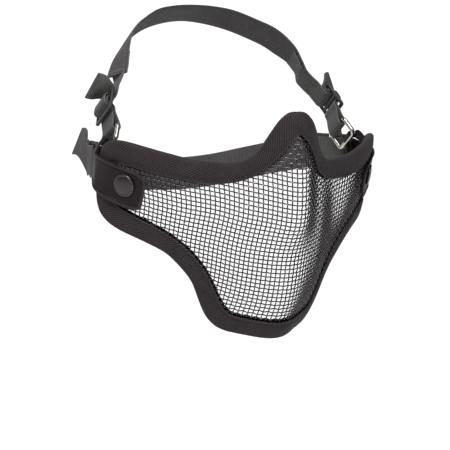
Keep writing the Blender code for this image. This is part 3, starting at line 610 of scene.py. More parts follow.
leaf_in = np.linspace(BAND_WIDTH, FOLD_END, 9)
fold = np.linspace(-FOLD_OPEN, FOLD_OPEN, 9)
leaf_out = np.concatenate((np.linspace(FOLD_END, SEAM_FROM, 8), np.linspace(SEAM_NEAR, BAND_WIDTH, 9)))
reach = np.concatenate((leaf_in, FOLD_FROM - FOLD_REACH * np.cos(fold), leaf_out))
side = np.concatenate((-np.ones(len(leaf_in)), np.sin(fold), np.ones(len(leaf_out))))
puff = BAND_PUFF * np.clip(np.sin(math.pi * np.clip((reach - PUFF_FROM) / SEAM_AT, 0, 1)), 0, 1)
seam = hump(reach, SEAM_AT, SEAM_WIDTH)
tuck = np.clip((reach - SEAM_AT) / (BAND_WIDTH - SEAM_AT), 0, 1) * SEAM_TUCK
lift = side * (BAND_MIDDLE + puff - SEAM_DIP * seam - tuck)
path = np.stack((reach, lift), 1)
way = unit(np.gradient(path, axis=0))
out_way = np.stack((-way[:, 1], way[:, 0]), 1)
if out_way[len(leaf_in) + len(fold) // 2, 0] > 0:
    out_way = -out_way
front, back = path + out_way * BAND_WALL / 2, path - out_way * BAND_WALL / 2
ends = [path[-1] + way[-1] * BAND_WALL * CUT_BULGE], [path[0] - way[0] * BAND_WALL * CUT_BULGE]
profile = np.vstack((front, ends[0], back[::-1], ends[1]))
spread = run_of(path)
spread = np.concatenate((spread, spread[-1:], spread[::-1], spread[:1]))
stations = len(band_run) - 1

# Two waves of pucker, the slower one weaker
pucker = np.sin(2 * math.pi * np.arange(stations) * band_run[-1] / stations / PUCKER_PITCH)
pucker += 0.6 * np.sin(2 * math.pi * band_run[:-1] / (PUCKER_PITCH * 2.7) + 1)
rings = []
for reach, lift in profile:
    moved = lift + PUCKER * pucker * hump(reach, PUCKER_AT, PUCKER_WIDTH) * np.sign(lift)
    rings.append(on_band(np.full(stations, np.clip(reach, 0, BAND_WIDTH + EDGE_OVER)), moved))
rings = np.array(rings).transpose(1, 0, 2)
cloth = np.stack(np.broadcast_arrays(band_run[:, None], spread[None]), -1)
# The inner edges of both leaves are marked for a painted highlight along them
lit_selvedge = np.tile(hump(profile[:, 0], BAND_WIDTH, SELVEDGE), stations)
mesh = loft([rings], looped=True, cloth=[cloth], marks=[lit_selvedge])
edge_band = put("edge_band_cloth", mesh, binding, crease=60)

# One line of stitches outside and one inside, each stitch laid along the seam
count = int(band_run[-1] / STITCH_PITCH)
sewn = []
for face in (1, -1):
    raised = face * (BAND_MIDDLE + BAND_WALL / 2 - SEAM_DIP)
    seam_line, inner_line = (on_band(np.full(stations, SEAM_AT), np.full(stations, height))
                             for height in (raised, raised - face * BAND_WALL))
    looped = np.vstack((seam_line, seam_line[:1]))
    outward = np.vstack((seam_line - inner_line, (seam_line - inner_line)[:1]))
    begin = np.arange(count) * STITCH_PITCH
    starts, ends = (between(begin + more, band_run, looped) for more in (0, STITCH_LENGTH))
    sewn += stitches(starts, ends, unit(between(begin, band_run, outward)), THREAD)
band_seam = put("edge_band_seam", loft(sewn), thread)
fit(edge_band, "binding", "edge_band")
fit(band_seam, "binding")

# The side tabs: smooth black leather on each cheek with its long edges turned over and creased, its rear end
# rolled round the lower slider's front bar and a narrow tongue rolled round the ring.
CLEARANCE = 0.0003
TAB_WALL = 0.0013
# Rows of the low edge's angle and height, the high edge's, and the lift off the wire
TAB = np.array((
    (61.3, 0.016, 60.3, 0.104, 0.0019), (61.9, -0.008, 60.3, 0.121, 0.0019),
    (66.0, -0.016, 64.0, 0.146, 0.0019), (71.0, -0.008, 70.5, 0.161, 0.0024),
    (75.0, 0.003, 74.5, 0.171, 0.0038), (79.0, 0.015, 78.5, 0.178, 0.0042),
    (82.0, 0.030, 81.7, 0.182, 0.0040), (85.0, 0.048, 85.0, 0.178, 0.0012),
))
TAB_BOW = 0.0008
TONGUE_REACH = 0.0050
TONGUE_SPAN = (-0.0085, 0.0005)
TURNED_EDGE = 0.00045    # how proud the turned edge stands, and how deep the creases inside it are
TURNED_AT = (0.0011, 0.0008)
EDGE_CREASE = 0.00025
EDGE_CREASE_AT = (0.0027, 0.0004)
FRONT_CREASE = 0.00022
FRONT_CREASE_AT = (0.0052, 0.00035)
RUBBED_AT = (0.0010, 0.0010)
EDGE_SOFT = 0.0006       # how softly one edge's turn runs into the next
LEATHER_ROUND = 0.00035
TAB_COLUMNS = 41
ROLL_COLUMNS = 31        # those of the tab's rear end that go on into the roll
TONGUE_ROWS = 12         # those of its high edge that go on into the tongue
ROLL_DEGREES = range(0, 206, 15)
TONGUE_DEGREES = range(0, 201, 25)
WEB_WIDTH = 0.020
SLIDER_BAR = 0.0026
SLIDER_WALL = 0.0022
SLIDER_SLOT = 0.0060
SLIDER_PITCH = SLIDER_BAR + SLIDER_SLOT
RING_WIRE = 0.0016
RING_DROP = 0.0125
RING_BELOW = 0.0195
RING_LIFT = -0.0019
UPPER_OFFSET = np.array((0.0282, 0.0355, 0.0665))
UPPER_DOWN = np.array((-0.345, -0.53, -0.775))
UPPER_ACROSS = np.array((-0.10, 0.81, -0.575))
UPPER_SLIDER = 0.029
LOWER_OFFSET = np.array((0.0033, 0.0168, 0.0095))
LOWER_BACK = np.array((0.10, 0.995, 0.0))
LOWER_ACROSS = np.array((0.0, 0.0, -1.0))
HANDS = (("right", (1, 1, 1)), ("left", (-1, 1, 1)))


def frame_axes(down, across):
    """Square axes: along the web, across it, and outward."""
    along = unit(down)
    wide = unit(across - along * across.dot(along))
    out = unit(np.cross(along, wide))
    return (along, wide, out) if out[0] < 0 else (along, wide, -out)


wing_end = mask_base(*OUTLINE[OUTLINE[:, 0].argmax()]) * (-1, 1, 1)
upper_start, lower_start = wing_end + UPPER_OFFSET, wing_end + LOWER_OFFSET
upper_middle = upper_start + unit(UPPER_DOWN) * UPPER_SLIDER
upper_axes, lower_axes = frame_axes(UPPER_DOWN, UPPER_ACROSS), frame_axes(LOWER_BACK, LOWER_ACROSS)

leather, tree, shader, place = finish_of("tab leather", Specular_IOR_Level=0.2)
hide = tinted(tree, (0.0105, 0.0050, 0.0068), place, size=0.012, depth=0.3)
wear_through(tree, shader, place, rub_of(tree), hide, (0.026, 0.0205, 0.022), size=0.0025, share=0.45)
pores = node(tree, "TexVoronoi", {"Vector": place, "Scale": 1500.0, "Randomness": 1.0}).outputs["Distance"]
roughen(tree, shader, pores, span=0.25, least=0.40)
creases = node(tree, "TexNoise", {"Vector": place, "Scale": 260.0, "Detail": 4.0, "Distortion": 1.2})
relief = sums(tree, "MULTIPLY_ADD", creases.outputs["Fac"], 1.2, pores)
emboss(tree, shader, relief, strength=0.5, distance=0.00012)


def tab_sheet():
    """The tab's middle surface as three grids of points, and how near each point is to a turned edge."""
    station = np.concatenate((np.linspace(0, 1, 9), np.linspace(1, 7, 67)[1:]))
    share = np.linspace(0, 1, TAB_COLUMNS)
    low_turn, low, high_turn, high, lift = (through(range(8), column, station)[:, None] for column in TAB.T)
    turn, level = low_turn + (high_turn - low_turn) * share, low + (high - low) * share
    base = mask_base(-turn, level)
    tall = np.linalg.norm(np.diff(base, axis=1), axis=2).sum(1)[:, None]
    back = run_of(base[:, TAB_COLUMNS // 2])[:, None]
    sides = np.broadcast_arrays(share * tall, (1 - share) * tall, back)
    near = -EDGE_SOFT * np.log(sum(np.exp(-distance / EDGE_SOFT) for distance in sides))
    lift = lift + TAB_BOW * (2 * share - 1) ** 2
    turned = TURNED_EDGE * hump(near, *TURNED_AT) - EDGE_CREASE * hump(near, *EDGE_CREASE_AT)
    plate = mask_point(-turn, level, lift + turned - FRONT_CREASE * hump(back, *FRONT_CREASE_AT))
    marks = hump(near, *RUBBED_AT)

    # The rear end rolls round the lower slider's front bar
    along, wide, out = lower_axes
    bar = lower_start - along * SLIDER_PITCH
    radius = math.hypot(SLIDER_BAR, SLIDER_WALL) / 2 + CLEARANCE + TAB_WALL / 2
    spread = wide * WEB_WIDTH / 2 * (1 - 2 * np.linspace(0, 1, ROLL_COLUMNS))[:, None]
    rolled = [bar + along * radius * math.sin(a) + out * radius * math.cos(a) + spread
              for a in np.radians(ROLL_DEGREES)]
    rear = plate[:, -ROLL_COLUMNS:]
    start = finer(np.array((rear[-1], rolled[0])), cuts=6, before=rear[-3], after=rolled[1])
    roll = np.concatenate((start[:-1], rolled))

    # The tongue rolls round the ring
    along, wide, out = upper_axes
    bar = upper_middle + along * (RING_BELOW + RING_DROP) + out * RING_LIFT
    radius = RING_WIRE + CLEARANCE + TAB_WALL / 2
    spread = wide * np.linspace(*TONGUE_SPAN, TONGUE_ROWS)[:, None]
    line = [plate[-TONGUE_ROWS:, -1], bar + out * (radius + TONGUE_REACH) + spread]
    line += [bar - along * radius * math.sin(a) + out * radius * math.cos(a) + spread
             for a in np.radians(TONGUE_DEGREES)]
    tongue = finer(np.array(line), cuts=4, before=plate[-TONGUE_ROWS:, -4])
    return ((plate, marks), (roll, np.zeros(roll.shape[:2])), (tongue, np.zeros(tongue.shape[:2])))


def for_hand(mesh, flip):
    """A mesh as it is for the right hand, or turned into its image for the left."""
    if flip[0] < 0:
        mesh.transform(Matrix.Scale(-1, 4, (1, 0, 0)))
        mesh.flip_normals()
    return mesh


sheet = bmesh.new()
rub_layer = sheet.verts.layers.float.new("rub")
for grid, marks in tab_sheet():
    made = []
    for row, values in zip(grid, marks):
        made.append([sheet.verts.new(point) for point in row])
        for vertex, value in zip(made[-1], values):
            vertex[rub_layer] = value
    for before, after in zip(made, made[1:]):
        for k in range(len(before) - 1):
            sheet.faces.new((before[k], before[k + 1], after[k + 1], after[k]))
bmesh.ops.remove_doubles(sheet, verts=sheet.verts, dist=2e-6)
bmesh.ops.recalc_face_normals(sheet, faces=sheet.faces)
mesh = bpy.data.meshes.new("side_tab")
sheet.to_mesh(mesh)
sheet.free()
pattern = put("side_tab_pattern", mesh, leather)
wall = pattern.modifiers.new("wall", "SOLIDIFY")
wall.thickness, wall.offset = TAB_WALL, 0
rounding = pattern.modifiers.new("rounded edge", "BEVEL")
rounding.width, rounding.segments = LEATHER_ROUND, 3
rounding.limit_method, rounding.angle_limit = "ANGLE", math.radians(55)
graph = bpy.context.evaluated_depsgraph_get()
for hand, flip in HANDS:
    mesh = for_hand(bpy.data.meshes.new_from_object(pattern.evaluated_get(graph)), flip)
    tab = put("side_tab_leather_" + hand, mesh, leather)
    fit(tab, "tab_leather", "side_tab_" + hand)
bpy.data.objects.remove(pattern)

# The snaps: a domed steel cap with a rolled rim, pressed on and baked with black enamel, over a steel post
# that goes through leather, binding and wire and is spread behind them over its washer.
SNAP_ANGLE = 68.4
SNAP_AT = 0.078
SNAP_HEIGHT = 0.0020
POST_SINK = 0.0007
CAP_RIM = 0.0073         # the radius at which the rolled rim is rubbed
RIM_WIDTH = 0.0004
RIM_FOOT = 0.0006
CAP_SIDES = 48
POST_SIDES = 40
# Rows of radius and lift, from the middle of the top to the middle of the foot
CAP_PROFILE = (
    (0.0003, 0.00205), (0.0009, 0.00204), (0.0018, 0.00202), (0.0036, 0.00188), (0.0050, 0.00164),
    (0.0058, 0.00142), (0.0062, 0.00131), (0.0065, 0.00132), (0.0069, 0.00142), (0.0073, 0.00138),
    (0.0075, 0.00114), (0.0076, 0.0008), (0.00755, 0.0004), (0.0073, 0.0001), (0.0070, 0.0), (0.0001, 0.0),
)
POST_PROFILE = (
    (0.0001, 0.0038), (0.0015, 0.0038), (0.0016, 0.0036), (0.0016, -0.0014), (0.0044, -0.0014),
    (0.0047, -0.0015), (0.0048, -0.0018), (0.0047, -0.0022), (0.0043, -0.0024), (0.0026, -0.0024),
    (0.0023, -0.0022), (0.0020, -0.0020), (0.0001, -0.0020),
)


def turned(profile, centre, axis, sides):
    """Cross-sections of a turned piece, from a profile of radius and lift."""
    side = unit(np.cross(axis, (0, 0, 1)))
    around = spokes(side, np.cross(axis, side), sides)
    return np.array([centre + axis * lift + around * radius for radius, lift in profile])


enamel, tree, shader, place = finish_of(
    "snap enamel", Specular_IOR_Level=0.45, Coat_Weight=0.18, Coat_Roughness=0.2)
baked = tinted(tree, (0.0145, 0.0085, 0.0105), place, size=0.005, depth=0.25)
bare = wear_through(tree, shader, place, rub_of(tree), baked, (0.16, 0.15, 0.14), size=0.0011, share=0.22)
tree.links.new(sums(tree, "MULTIPLY", bare, 0.7), shader.inputs["Metallic"])
specks = speckle(tree, place, 1500.0, detail=3.0)
roughen(tree, shader, specks, span=0.18, least=0.26)
emboss(tree, shader, specks, strength=0.3, distance=0.00006)

steel, tree, shader, place = finish_of("bright steel", Metallic=1.0)
plated = tinted(tree, (0.44, 0.42, 0.39), place, size=0.004, depth=0.3)
sharp = node(tree, "NewGeometry").outputs["Pointiness"]
dull = wear_through(tree, shader, place, sharp, plated, (0.17, 0.16, 0.15), size=0.0018, share=0.45)
roughen(tree, shader, dull, span=0.25, least=0.26)
emboss(tree, shader, speckle(tree, place, 900.0, detail=3.0), strength=0.3, distance=0.00008)

snap_axis = mask_axes(np.array(-SNAP_ANGLE), np.array(SNAP_AT))[2]
snap_middle = np.array(sum(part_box("snap_cap_right"), Vector())) / 2
cap_rings = turned(CAP_PROFILE, snap_middle - snap_axis * SNAP_HEIGHT / 2, snap_axis, CAP_SIDES)
cap_marks = np.repeat([hump(radius, CAP_RIM, RIM_WIDTH) * (lift > RIM_FOOT)
                       for radius, lift in CAP_PROFILE], CAP_SIDES)
post_base = np.array(sum(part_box("snap_post_right"), Vector())) / 2
post_rings = turned(POST_PROFILE, post_base - snap_axis * POST_SINK, snap_axis, POST_SIDES)
for hand, flip in HANDS:
    mesh = loft([cap_rings * flip], marks=[cap_marks])
    fit(put("snap_cap_" + hand + "_domed", mesh, enamel, crease=50), "snap_enamel", "snap_cap_" + hand)
    mesh = loft([post_rings * flip])
    fit(put("snap_post_" + hand + "_turned", mesh, steel, crease=50), "post_steel", "snap_post_" + hand)

# The rings: bent steel wire with a butt weld in the lower bar, one on each side between the tab's tongue and
# the upper web.
RING_CORNER = 0.0021
RING_CUTS = 150
RING_SIDES = 14
WELD_AT = -0.002
WELD_WIDTH = 0.0009
WELD_PROUD = 0.10        # shares of the wire's thickness: the weld's bead, and the line down its middle
WELD_LINE = 0.03


def rounded(half_wide, low, high, corner, cuts):
    """A rectangle with rounded corners, from the sides' distance and its lowest and highest place."""
    points = []
    for x, y, start in ((half_wide - corner, high - corner, 0), (corner - half_wide, high - corner, 90),
                        (corner - half_wide, low + corner, 180), (half_wide - corner, low + corner, 270)):
        turn = np.radians(start + np.linspace(0, 90, cuts))
        points.append(np.stack((x + corner * np.cos(turn), y + corner * np.sin(turn)), 1))
    return np.vstack(points)


loop = rounded(WEB_WIDTH / 2 + RING_WIRE + 2 * CLEARANCE, -RING_DROP / 2, RING_DROP / 2, RING_CORNER, cuts=9)
loop = np.vstack((loop, loop[:1]))
length = run_of(loop)
loop = between(np.arange(0, length[-1] - 1e-9, length[-1] / RING_CUTS), length, loop)
along, wide, out = upper_axes
ring_base = upper_middle + along * (RING_BELOW + RING_DROP / 2) + out * RING_LIFT
centres = ring_base + loop[:, :1] * wide + loop[:, 1:] * along
weld = hump(loop[:, 0], WELD_AT, WELD_WIDTH) * (loop[:, 1] > 0)
closed = np.vstack((centres[-2:], centres, centres[:2]))
radius = np.pad(RING_WIRE * (1 + WELD_PROUD * weld - WELD_LINE * (weld > 0.9)), 2, mode="wrap")
ring_rings = tube(closed, radius, np.tile(out, (len(closed), 1)), RING_SIDES)[2:-2]
for hand, flip in HANDS:
    mesh = loft([ring_rings * flip], looped=True)
    fit(put("ring_" + hand + "_wire", mesh, steel), "ring_metal", "ring_" + hand)

# The bar sliders: moulded black nylon frames with a bar across the middle, rounded all over, one for the
# crown strap and one for the nape strap on each side.
SLIDER_STAND = 0.0050
SLIDER_ROUND = 0.00075
SLIDER_CORNER = 0.0022
SLOT_CORNER = 0.0009

nylon, tree, shader, place = finish_of("moulded nylon", Specular_IOR_Level=0.25)
moulded = tinted(tree, (0.028, 0.027, 0.027), place, size=0.006, depth=0.2)
sharp = node(tree, "NewGeometry").outputs["Pointiness"]
corner = node(tree, "MapRange", {"Value": sharp, "From Min": 0.5, "From Max": 0.62}).outputs["Result"]
wear_through(tree, shader, place, corner, moulded, (0.07, 0.067, 0.065), size=0.0014, share=0.4)
pitted = speckle(tree, place, 2200.0, detail=3.0)
roughen(tree, shader, pitted, span=0.2, least=0.32)
emboss(tree, shader, pitted, strength=0.4, distance=0.00006)


def slider_mesh(middle, axes):
    """A slider: a filled outline with two slots, given its wall and rounded edges."""
    along, wide, out = axes
    curve = bpy.data.curves.new("slider", "CURVE")
    curve.dimensions, curve.fill_mode = "2D", "BOTH"
    curve.extrude, curve.offset = SLIDER_WALL / 2 - SLIDER_ROUND, -SLIDER_ROUND
    curve.bevel_depth, curve.bevel_resolution = SLIDER_ROUND, 3
    reach = SLIDER_PITCH + SLIDER_BAR / 2
    loops = [rounded(WEB_WIDTH / 2 + SLIDER_BAR + CLEARANCE, -reach, reach, SLIDER_CORNER, cuts=7)]
    for low in (-SLIDER_BAR / 2 - SLIDER_SLOT, SLIDER_BAR / 2):
        loops.append(rounded(WEB_WIDTH / 2 + 2 * CLEARANCE, low, low + SLIDER_SLOT, SLOT_CORNER, cuts=7))
    for points in loops:
        points = np.hstack((points, np.tile((0, 1), (len(points), 1))))
        spline = curve.splines.new("POLY")
        spline.use_cyclic_u = True
        spline.points.add(len(points) - 1)
        spline.points.foreach_set("co", points.ravel())
    shape = bpy.data.objects.new("slider", curve)
    bpy.context.scene.collection.objects.link(shape)
    mesh = bpy.data.meshes.new_from_object(shape.evaluated_get(bpy.context.evaluated_depsgraph_get()))
    bpy.data.objects.remove(shape)
    welded = bmesh.new()
    welded.from_mesh(mesh)
    bmesh.ops.remove_doubles(welded, verts=welded.verts, dist=1e-5)
    bmesh.ops.recalc_face_normals(welded, faces=welded.faces)
    turn = Matrix((wide.tolist(), along.tolist(), np.cross(wide, along).tolist())).transposed().to_4x4()
    welded.transform(Matrix.Translation(middle.tolist()) @ turn)
    welded.to_mesh(mesh)
    welded.free()
    return mesh


for name, middle, axes in (("upper_slider_", upper_middle + upper_axes[2] * SLIDER_STAND, upper_axes),
                           ("lower_slider_", lower_start, lower_axes)):
    for hand, flip in HANDS:
        mesh = for_hand(slider_mesh(middle, axes), flip)
        fit(put(name + hand + "_moulded", mesh, nylon, crease=50), "slider_plastic", name + hand)

# The webs: narrow ribbed nylon webbing. Each upper web is sewn under the crown strap's end, goes through its
# slider, round the ring and back to its free end. Each lower web is sewn under the nape strap's end and goes
# round its slider's bar to its free end.
WEB_WALL = 0.0014
WEB_RIB = 0.0014
RIB_DEPTH = 0.00008
WEB_SELVEDGE = 0.0007
SELVEDGE_POWER = 8       # higher is squarer
RIB_POWER = 0.7          # lower is narrower furrows
STEP_ALONG = 0.0003
STRAP_WALL = 0.0016
# Rows of how far along the web, how far out, and the share of the free end's twist
UPPER_WEB = np.array((
    (-0.0290, -0.0019, 0), (-0.0250, -0.0017, 0), (-0.0200, -0.0008, 0), (-0.0150, 0.0004, 0),
    (-0.0120, 0.0006, 0), (-0.0090, 0.0008, 0), (-0.0054, 0.0012, 0), (-0.0036, 0.0029, 0),
    (-0.0027, 0.0051, 0), (-0.0023, 0.0067, 0), (-0.0010, 0.0074, 0), (0.0010, 0.0074, 0),
    (0.0023, 0.0067, 0), (0.0027, 0.0051, 0), (0.0036, 0.0029, 0), (0.0054, 0.0012, 0),
    (0.0090, 0.0003, 0), (0.0150, -0.0029, 0), (0.0195, -0.0047, 0), (0.0215, -0.0039, 0),
    (0.0223, -0.0019, 0), (0.0215, 0.0001, 0), (0.0195, 0.0009, 0), (0.0170, 0.0007, 0),
    (0.0140, 0.0012, 0), (0.0090, 0.0025, 0), (0.0066, 0.0029, 0), (0.0052, 0.0038, 0),
    (0.0045, 0.0054, 0), (0.0040, 0.0073, 0), (0.0031, 0.0086, 0), (0.0015, 0.0091, 0),
    (-0.0015, 0.0091, 0), (-0.0031, 0.0086, 0), (-0.0040, 0.0073, 0), (-0.0045, 0.0054, 0),
    (-0.0052, 0.0038, 0), (-0.0066, 0.0029, 0), (-0.0088, 0.0027, 0), (-0.0102, 0.0027, 0),
    (-0.0116, 0.0034, 0), (-0.0126, 0.0050, 0.05), (-0.0132, 0.0070, 0.2), (-0.0136, 0.0092, 0.45),
    (-0.0136, 0.0115, 0.75), (-0.0134, 0.0140, 1), (-0.0131, 0.0170, 1),
))
UPPER_TAIL_ACROSS = np.array((-0.45, 0.20, -0.87))
LOWER_WEB = np.array((
    (0.0290, -0.0056, 0), (0.0235, -0.0034, 0), (0.0180, -0.0022, 0), (0.0130, -0.0021, 0),
    (0.0090, -0.0022, 0), (0.0045, -0.0022, 0), (-0.0004, -0.0022, 0), (-0.0019, -0.0018, 0),
    (-0.0026, -0.0007, 0), (-0.0026, 0.0007, 0), (-0.0019, 0.0018, 0), (-0.0004, 0.0022, 0),
    (0.0045, 0.0023, 0), (0.0080, 0.0025, 0), (0.0100, 0.0029, 0.3), (0.0110, 0.0036, 0.65),
    (0.0119, 0.0047, 0.9), (0.0129, 0.0062, 1), (0.0140, 0.0082, 1),
))
LOWER_TAIL_ACROSS = np.array((-0.32, 0.20, -0.92))
LOWER_TAIL_RISE = 0.0122
LEAD_STATIONS = 4        # those of the crown strap that the upper web is sewn under
CROWN_BACK = 0.0432
CROWN_RISE = 0.0455
# Rows of the shares of the way to the side, to the back and up, and the way across the strap
CROWN_ROUTE = (
    (1.0, 0.0, 0.0, (0.24, -0.95, 0.18)), (0.961, 0.076, 0.165, (0.22, -0.92, 0.31)),
    (0.925, 0.150, 0.299, (0.19, -0.88, 0.43)), (0.881, 0.243, 0.404, (0.16, -0.84, 0.52)),
    (0.824, 0.352, 0.510, (0.13, -0.79, 0.59)), (0.748, 0.472, 0.620, (0.13, -0.79, 0.59)),
    (0.656, 0.616, 0.714, (0.18, -0.78, 0.60)), (0.447, 0.838, 0.879, (0.16, -0.80, 0.58)),
    (0.228, 0.954, 0.967, (0.08, -0.86, 0.50)), (0.0, 1.0, 1.0, (0.0, -0.89, 0.45)),
)


def strap_route(start, route, back, rise):
    """The stations of a strap's route, each a point and the way across, from its start to the middle."""
    return np.array([(*(start * (side, 1, 1) + (0, back * share, rise * lift)), *across)
                     for side, share, lift, across in route])


def to_middle(stations, cuts):
    """More stations on a smooth curve through those given, which end in the middle at the back."""
    return finer(stations, cuts, after=stations[-2] * (-1, 1, 1, -1, 1, 1))


def ribbon(stations, step=STEP_ALONG):
    """A ribbon's line laid out evenly: how far along it, its points, the ways across and its faces."""
    points, across = stations[:, :3], unit(stations[:, 3:])
    length = run_of(points)
    even = np.linspace(0, length[-1], int(length[-1] / step) + 1)
    points, across = between(even, length, points), between(even, length, across)
    way = np.gradient(points, axis=0)
    return even, points, unit(across), unit(np.cross(way, across))


def on_ribbon(line, along, side, lift):
    """Points on a ribbon: that far along it, to the side of its middle and off its middle layer."""
    even, *rows = line
    point, across, face = (between(along, even, row) for row in rows)
    return point + across * np.asarray(side)[..., None] + face * np.asarray(lift)[..., None]


def ribbon_rings(line, width, wall, rib, depth, cuts=11):
    """Cross-sections of a ribbon with round selvedges and ribs across it, the place on it, and its marks for
    a painted highlight along the selvedges.
    """
    even = line[0]
    side = np.sin(np.linspace(-1, 1, cuts) * math.pi / 2)
    bulge = (1 - abs(side) ** SELVEDGE_POWER) ** 0.5
    side, face = np.concatenate((side, side[-2:0:-1])), np.concatenate((bulge, -bulge[-2:0:-1]))
    furrow = (1 - abs(np.sin(math.pi * even / rib)) ** RIB_POWER) * depth
    along, side = np.broadcast_arrays(even[:, None], side[None] * width / 2)
    lift = face[None] * (wall / 2 - furrow[:, None])
    # The selvedges are marked for a painted highlight along them
    lit_selvedge = hump(abs(side), width / 2, WEB_SELVEDGE)
    return on_ribbon(line, along, side, lift), np.stack((along, side), -1), lit_selvedge


def web_line(middle, axes, route, tail_across, rise, lead):
    """The whole line of a web: the sewn lead, the way through its hardware, and the turned free end."""
    along, wide, out = axes
    rows = [*lead]
    for t, n, twist in route:
        way = unit(wide * (1 - twist) + unit(tail_across) * twist)
        rows.append(np.concatenate((middle + along * t + out * n - wide * rise * twist, way)))
    return ribbon(finer(np.array(rows), cuts=8))


webbing = cloth_of("ribbed webbing", (0.088, 0.086, 0.084), rib=WEB_RIB, slant=0.0, yarn=0.0011,
                   depth=0.00015, sheen=0.05, shadow=0.35)
sewn_gap = STRAP_WALL / 2 + CLEARANCE + WEB_WALL / 2
crown_stations = strap_route(upper_start, CROWN_ROUTE, CROWN_BACK, CROWN_RISE)
crown_coarse = to_middle(crown_stations, cuts=2)
lead = []
for k in range(LEAD_STATIONS, 0, -1):
    face = unit(np.cross(crown_coarse[k + 1, :3] - crown_coarse[k - 1, :3], crown_coarse[k, 3:]))
    lead.append(np.concatenate((crown_coarse[k, :3] + face * sewn_gap, -crown_coarse[k, 3:])))
upper_web = web_line(upper_middle, upper_axes, UPPER_WEB, UPPER_TAIL_ACROSS, rise=0.0, lead=lead)
lower_web = web_line(lower_start, lower_axes, LOWER_WEB, LOWER_TAIL_ACROSS, LOWER_TAIL_RISE, lead=[])
for name, line in (("upper_web_", upper_web), ("lower_web_", lower_web)):
    rings, cloth, marks = ribbon_rings(line, WEB_WIDTH, WEB_WALL, WEB_RIB, RIB_DEPTH)
    for hand, flip in HANDS:
        mesh = loft([rings * flip], cloth=[cloth], marks=[marks])
        web = put(name + hand + "_woven", mesh, webbing, crease=70)
        fit(web, "webbing", name + hand)

# The crown strap: wide woven elastic that goes over the rear of the crown. Its two ends are sewn down on the
# upper webs with a box of stitches and a zigzag.
STRAP_WIDTH = 0.025
STRAP_RIB = 0.0021
STRAP_RIB_DEPTH = 0.00010
STRAP_STEP = 0.0005
BOX_HALF = 0.0085
BOX_STITCH = 0.0018
BOX_PITCH = 0.0026
LONE_STITCH = 0.9        # the share of a short side that its one stitch takes
ZIGZAG = 0.0014
ZIGZAG_GAP = 0.0016
ZIGZAG_TURNS = 16
STRAP_THREAD = 0.00028

elastic = cloth_of("woven elastic", (0.070, 0.064, 0.067), rib=0.0011, slant=0.0, yarn=0.0016,
                   depth=0.0002, sheen=0.05, shadow=0.3)
strap_thread = thread_of("strap thread", (0.115, 0.110, 0.112))


def whole_line(stations):
    """A strap's line from side to side, from the stations of its right half."""
    half = to_middle(stations, cuts=12)
    return ribbon(np.vstack((half, half[-2::-1] * (-1, 1, 1, -1, 1, 1))), STRAP_STEP)


def sewn_box(line, first, last, lift):
    """Stitches round a box and across the strap's end in a zigzag, on one face of it."""
    half = BOX_HALF
    corners = [(first, -half), (last, -half), (last, half), (first, half), (first, -half)]
    zigzag = [(first - ZIGZAG_GAP + ZIGZAG * (k % 2), -half + 2 * half * k / ZIGZAG_TURNS)
              for k in range(ZIGZAG_TURNS + 1)]
    starts, ends = [], []
    for (a0, s0), (a1, s1) in [*zip(corners, corners[1:]), *zip(zigzag, zigzag[1:])]:
        count = max(1, round(math.hypot(a1 - a0, s1 - s0) / BOX_PITCH))
        for k in range(count):
            t0, t1 = k / count, (k + BOX_STITCH / BOX_PITCH if count > 1 else k + LONE_STITCH) / count
            starts.append((a0 + (a1 - a0) * t0, s0 + (s1 - s0) * t0))
            ends.append((a0 + (a1 - a0) * t1, s0 + (s1 - s0) * t1))
    starts, ends = np.array(starts), np.array(ends)
    height = np.full(len(starts), lift)
    top, foot = on_ribbon(line, *starts.T, height), on_ribbon(line, *starts.T, height * 0)
    return stitches(top, on_ribbon(line, *ends.T, height), unit(top - foot), STRAP_THREAD)


def sew_strap(name, line, first, last):
    """An elastic strap along its whole line, its ends sewn down on two webs between two distances."""
    rings, cloth, marks = ribbon_rings(line, STRAP_WIDTH, STRAP_WALL, STRAP_RIB, STRAP_RIB_DEPTH, cuts=15)
    strap = put(name + "_strap_elastic", loft([rings], cloth=[cloth], marks=[marks]), elastic, crease=70)
    sewn = [ring for face in (1, -1) for ring in sewn_box(line, first, last, face * STRAP_WALL / 2)]
    mesh = loft(sewn + [ring * (-1, 1, 1) for ring in sewn])
    seams = put(name + "_strap_seams", mesh, strap_thread)
    fit(strap, "elastic", name + "_strap")
    fit(seams, "elastic")


sew_strap("crown", whole_line(crown_stations), first=0.0035, last=0.0180)

# The nape strap: the same elastic, sewn on over the lower webs with the same box and zigzag, and led the
# plain way round the nape.
NAPE_BACK = 0.0910
NAPE_DROP = 0.0200
NAPE_ROUTE = (
    (0.865, 0.450, -0.15, (0.0, 0.0, 1.0)), (0.735, 0.650, -0.35, (0.0, 0.05, 1.0)),
    (0.545, 0.830, -0.62, (0.0, 0.10, 1.0)), (0.290, 0.955, -0.90, (0.0, 0.12, 1.0)),
    (0.0, 1.0, -1.0, (0.0, 0.12, 1.0)),
)

along, wide, out = lower_axes
web = np.array([lower_start + along * t + out * n for t, n, _ in LOWER_WEB[3::-1]])
stations = []
for before, point, after in zip(web, web[1:], [*web[2:], web[-1] * 2 - web[-2]]):
    face = unit(np.cross(after - before, wide))
    stations.append(np.concatenate((point + face * np.sign(face.dot(out)) * sewn_gap, -wide)))
stations = np.vstack((stations, strap_route(lower_start, NAPE_ROUTE, NAPE_BACK, NAPE_DROP)))
sew_strap("nape", whole_line(stations), first=0.0025, last=0.0110)

# The studio: a pale paper floor that sweeps up behind and glows evenly by itself, soft lamps in front and
# above, and the camera.
FLOOR = -0.60
FLOOR_REACH = 4.0
SWEEP_AT = 1.6
SWEEP_ROUND = 0.9

